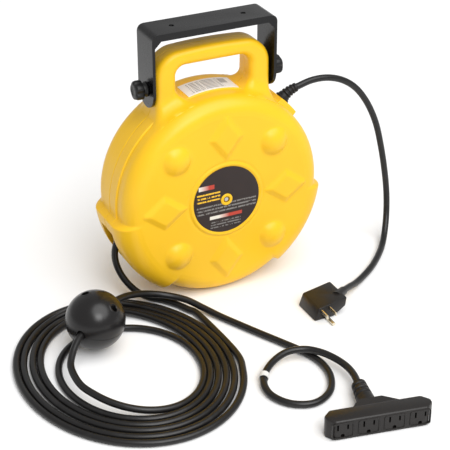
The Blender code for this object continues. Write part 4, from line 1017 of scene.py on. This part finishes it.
def tap_boot():
    """The tap's ribbed neck: ovals whose half sizes fall with a power of the way along, less the grooves."""
    along = np.linspace(0, 1, 47)[:, None]
    angle = around(48)[None, :]
    cut = 0.0016 * smoothstep(0.2, 0.7, np.cos(2 * math.pi * 5 * along)) * smoothstep(0.2, 0.3, along)
    wide = 0.0134 + (0.0096 - 0.0134) * along**0.7 - cut
    tall = 0.0118 + (0.0092 - 0.0118) * along**0.8 - cut * 0.8
    x = -0.003 + 0.085 * TAP_NECK_LONG * along + wide * np.cos(angle)
    y = TAP_HALF_DEEP + 0.0143 + 0.996 * TAP_NECK_LONG * along
    return surface(tap_frame(capped(xyz(x, y, 0.0135 + tall * np.sin(angle)))), around_columns=True)


# ------------------------------------------------------------------ settings in the sidebar

class ReelOptions(bpy.types.PropertyGroup):
    """The colours and sizes that a user would change."""

    case_colour: bpy.props.FloatVectorProperty(
        name="Case colour", description="Colour of the moulded case", subtype="COLOR",
        default=(0.86, 0.50, 0.012), min=0.0, max=1.0,
    )
    bracket_colour: bpy.props.FloatVectorProperty(
        name="Bracket colour", description="Colour of the hanging bracket's paint", subtype="COLOR",
        default=(0.0025, 0.0025, 0.003), min=0.0, max=1.0,
    )
    cord_colour: bpy.props.FloatVectorProperty(
        name="Cord colour", description="Colour of both cords' jackets", subtype="COLOR",
        default=(0.006, 0.0055, 0.0055), min=0.0, max=1.0,
    )
    cord_radius: bpy.props.FloatProperty(
        name="Cord radius", description="Radius of the cords' jackets", default=CORD_R, min=0.002,
        max=0.008, unit="LENGTH",
    )


class StageOptions(bpy.types.PropertyGroup):
    """The floor's size and the strength of the light."""

    floor_half: bpy.props.FloatProperty(
        name="Floor", description="Half of the floor's side", default=40.0, min=1.0, unit="LENGTH",
    )
    sky: bpy.props.FloatProperty(
        name="Sky", description="Strength of the even light from all round", default=0.55, min=0.0,
    )
    sun: bpy.props.FloatProperty(
        name="Overhead light", description="Strength of the wide light from above", default=2.3, min=0.0,
    )
    key_power: bpy.props.FloatProperty(
        name="Key light", description="Power of the large soft lamp", default=14.0, min=0.0, unit="POWER",
    )


def set_down(item, place, towards):
    """Puts a camera or a lamp into the scene at a place, looking in a direction."""
    item.location = place
    item.rotation_euler = Vector(towards).to_track_quat("-Z", "Y").to_euler()
    bpy.context.scene.collection.objects.link(item)
    return item


class MakeStage(bpy.types.Operator):
    """Camera, floor, soft lamps and the finishes"""

    bl_idname = "reel.stage"
    bl_label = "Stage and finishes"

    def execute(self, context):
        scene, options = context.scene, context.scene.reel_stage
        make_finishes(scene.reel)
        lens = bpy.data.cameras.new("viewpoint")
        lens.sensor_fit = "HORIZONTAL"
        lens.sensor_width = 36.0
        lens.lens = VIEW_LENS
        lens.clip_end = 50.0
        scene.camera = set_down(bpy.data.objects.new("viewpoint", lens), VIEW_FROM, VIEW_TOWARDS)
        scene.view_settings.view_transform = "Standard"

        side = np.array([-options.floor_half, options.floor_half])
        flat, faces, _ = surface(xyz(side[None, :], side[:, None], 0.0))
        mesh = bpy.data.meshes.new("floor")
        mesh.from_pydata(flat.tolist(), [], faces[:, ::-1].tolist())
        floor = bpy.data.objects.new("floor", mesh)
        scene.collection.objects.link(floor)
        paper = Finish("white paper", (0.90, 0.90, 0.90), 0.75)
        paper.set("Roughness", 0.72 + 0.06 * paper.noise(14.0))
        floor.data.materials.append(paper.material)

        world = scene.world or bpy.data.worlds.new("studio")
        scene.world = world
        world.use_nodes = True
        ground = world.node_tree.nodes["Background"]
        ground.inputs["Color"].default_value = (1.0, 1.0, 1.0, 1.0)
        ground.inputs["Strength"].default_value = options.sky
        lamps = (
            ("overhead", "SUN", (0.5, -1.5, 2.6), "angle", 1.0, options.sun),
            ("key", "AREA", (-0.35, -1.9, 1.5), "size", 0.9, options.key_power),
        )
        for name, kind, place, softness, amount, power in lamps:
            light = bpy.data.lights.new(name, kind)
            setattr(light, softness, amount)
            light.energy = power
            set_down(bpy.data.objects.new(name, light), place, Vector(LIT_POINT) - Vector(place))
        return {"FINISHED"}


class MakePlug(bpy.types.Operator):
    """The mains plug's body and pins"""

    bl_idname = "reel.plug"
    bl_label = "Plug"

    def execute(self, context):
        refined("plug_body", "plug", "black", 0.0006)
        for node in ("plug_blade_left", "plug_blade_right"):
            refined(node, node + "_soft", "brass", 0.0004)
        return {"FINISHED"}


class MakeTap(bpy.types.Operator):
    """The tap's body, its outlet frames and its ribbed neck"""

    bl_idname = "reel.tap"
    bl_label = "Tap"

    def execute(self, context):
        refined("tap_body", "tap", "black", 0.0)
        piece("outlet_frames", face_frames(), "case", "black")
        piece("tap_neck", [tap_boot()], "case", "soft", ("tap_strain_relief",))
        return {"FINISHED"}


class MakeBall(bpy.types.Operator):
    """The stop ball's two halves"""

    bl_idname = "reel.ball"
    bl_label = "Stop ball"

    def execute(self, context):
        piece("ball_upper", [ball_half(True), *ball_wells()], "case", "ball", ("stop_ball_upper",))
        piece("ball_lower", [ball_half(False)], "case", "ball", ("stop_ball_lower",))
        return {"FINISHED"}


class MakeCords(bpy.types.Operator):
    """The mains lead with its boot, and the output cord"""

    bl_idname = "reel.cords"
    bl_label = "Cords"

    def execute(self, context):
        radius = context.scene.reel.cord_radius
        boot = strain_relief_line()
        ribbed = round_tube(boot, boot_radii(boot, 0.0088, 0.0062, 5, 0.0013), 28)
        piece("lead_boot", [ribbed], "case", "soft", ("lead_strain_relief",))
        lead = smooth_line([tuple(boot[-1]), *LEAD_ROUTE[1:]])
        mains = piece("mains_lead", [round_tube(lead, radius)], "case", "jacket", ("power_lead",))
        line = output_line()
        output = piece("output_cord", [round_tube(line, radius)], "case", "jacket",
                       ("output_cord_near", "output_cord_coil", "output_cord_rise", "output_cord_far"))
        return {"FINISHED"}


class MakeCase(bpy.types.Operator):
    """The case's two halves with the handle, and its two labels"""

    bl_idname = "reel.case"
    bl_label = "Case and labels"

    def execute(self, context):
        piece("front_case", [drum_half(-1), handle_half(-1), centre_ring()], "case", "case",
              ("front_shell",), sharp=50.0)
        piece("rear_case", [drum_half(1), handle_half(1), *well_rings()], "case", "case", ("rear_shell",),
              sharp=50.0)
        piece("disc_label", [label_disc()], "case", "disc_label", ("front_label",))
        piece("foil_label", [top_label_patch()], "case", "rating_label", ("top_label",), outward=False)
        return {"FINISHED"}


class MakeBracket(bpy.types.Operator):
    """The hanging bracket and its two knobs"""

    bl_idname = "reel.bracket"
    bl_label = "Bracket and knobs"

    def execute(self, context):
        refined("bracket", "hanging_bracket", "bracket", 0.0006)
        for side, name in ((-1, "left_knob"), (1, "right_knob")):
            piece(name + "_grip", [knob(side)], name, "knob", (name,))
        return {"FINISHED"}


# the finish of each of the frame's own pieces, by a word in its name: the first that fits is taken
FINISH_WORDS = (
    ("spool", ("axle_bush", "brush_holder", "carrier", "spool")),
    ("spring", ("power_spring", "pawl_spring")),
    ("brass", ("slip_ring", "ground_pin")),
    ("carbon", ("brush",)),
    ("knob", ("washer",)),
    ("jacket", ("winding",)),
    ("soft", ("gland",)),
    ("tag", ("tag_band",)),
    ("steel", ("screw", "bolt", "nut", "axle", "pawl", "ratchet")),
)


class FinishFrame(bpy.types.Operator):
    """The finishes of the frame's own pieces: screws, gland, spool, ratchet, spring and contacts"""

    bl_idname = "reel.frame"
    bl_label = "Inner pieces"

    def execute(self, context):
        for name, node in frame["nodes"].items():
            if node.hide_render:
                continue
            found = [finish for finish, words in FINISH_WORDS if any(word in name for word in words)]
            if not found:
                raise RuntimeError(f"no finish for {name}")
            slot, material = FINISHES[found[0]]
            node.data.materials.clear()
            node.data.materials.append(material)
        return {"FINISHED"}


class ReelPanel(bpy.types.Panel):
    """Lists the reel's operators in the order in which they run"""

    bl_idname = "VIEW3D_PT_cord_reel"
    bl_label = "Cord Reel"
    bl_space_type = "VIEW_3D"
    bl_region_type = "UI"
    bl_category = "Cord Reel"

    def draw(self, context):
        for options in (context.scene.reel, context.scene.reel_stage):
            for name in options.__annotations__:
                self.layout.prop(options, name)
        for operator in OPERATORS:
            self.layout.operator(operator.bl_idname)


OPERATORS = (MakeStage, MakePlug, MakeTap, MakeBall, MakeCords, MakeCase, MakeBracket, FinishFrame)
CLASSES = (ReelOptions, StageOptions, *OPERATORS, ReelPanel)


def register():
    for item in CLASSES:
        bpy.utils.register_class(item)
    bpy.types.Scene.reel = bpy.props.PointerProperty(type=ReelOptions)
    bpy.types.Scene.reel_stage = bpy.props.PointerProperty(type=StageOptions)


def unregister():
    del bpy.types.Scene.reel_stage
    del bpy.types.Scene.reel
    for item in reversed(CLASSES):
        bpy.utils.unregister_class(item)


def main():
    """Builds everything in order."""
    register()
    for operator in OPERATORS:
        group, name = operator.bl_idname.split(".")
        getattr(getattr(bpy.ops, group), name)()


if __name__ == "__main__":
    main()
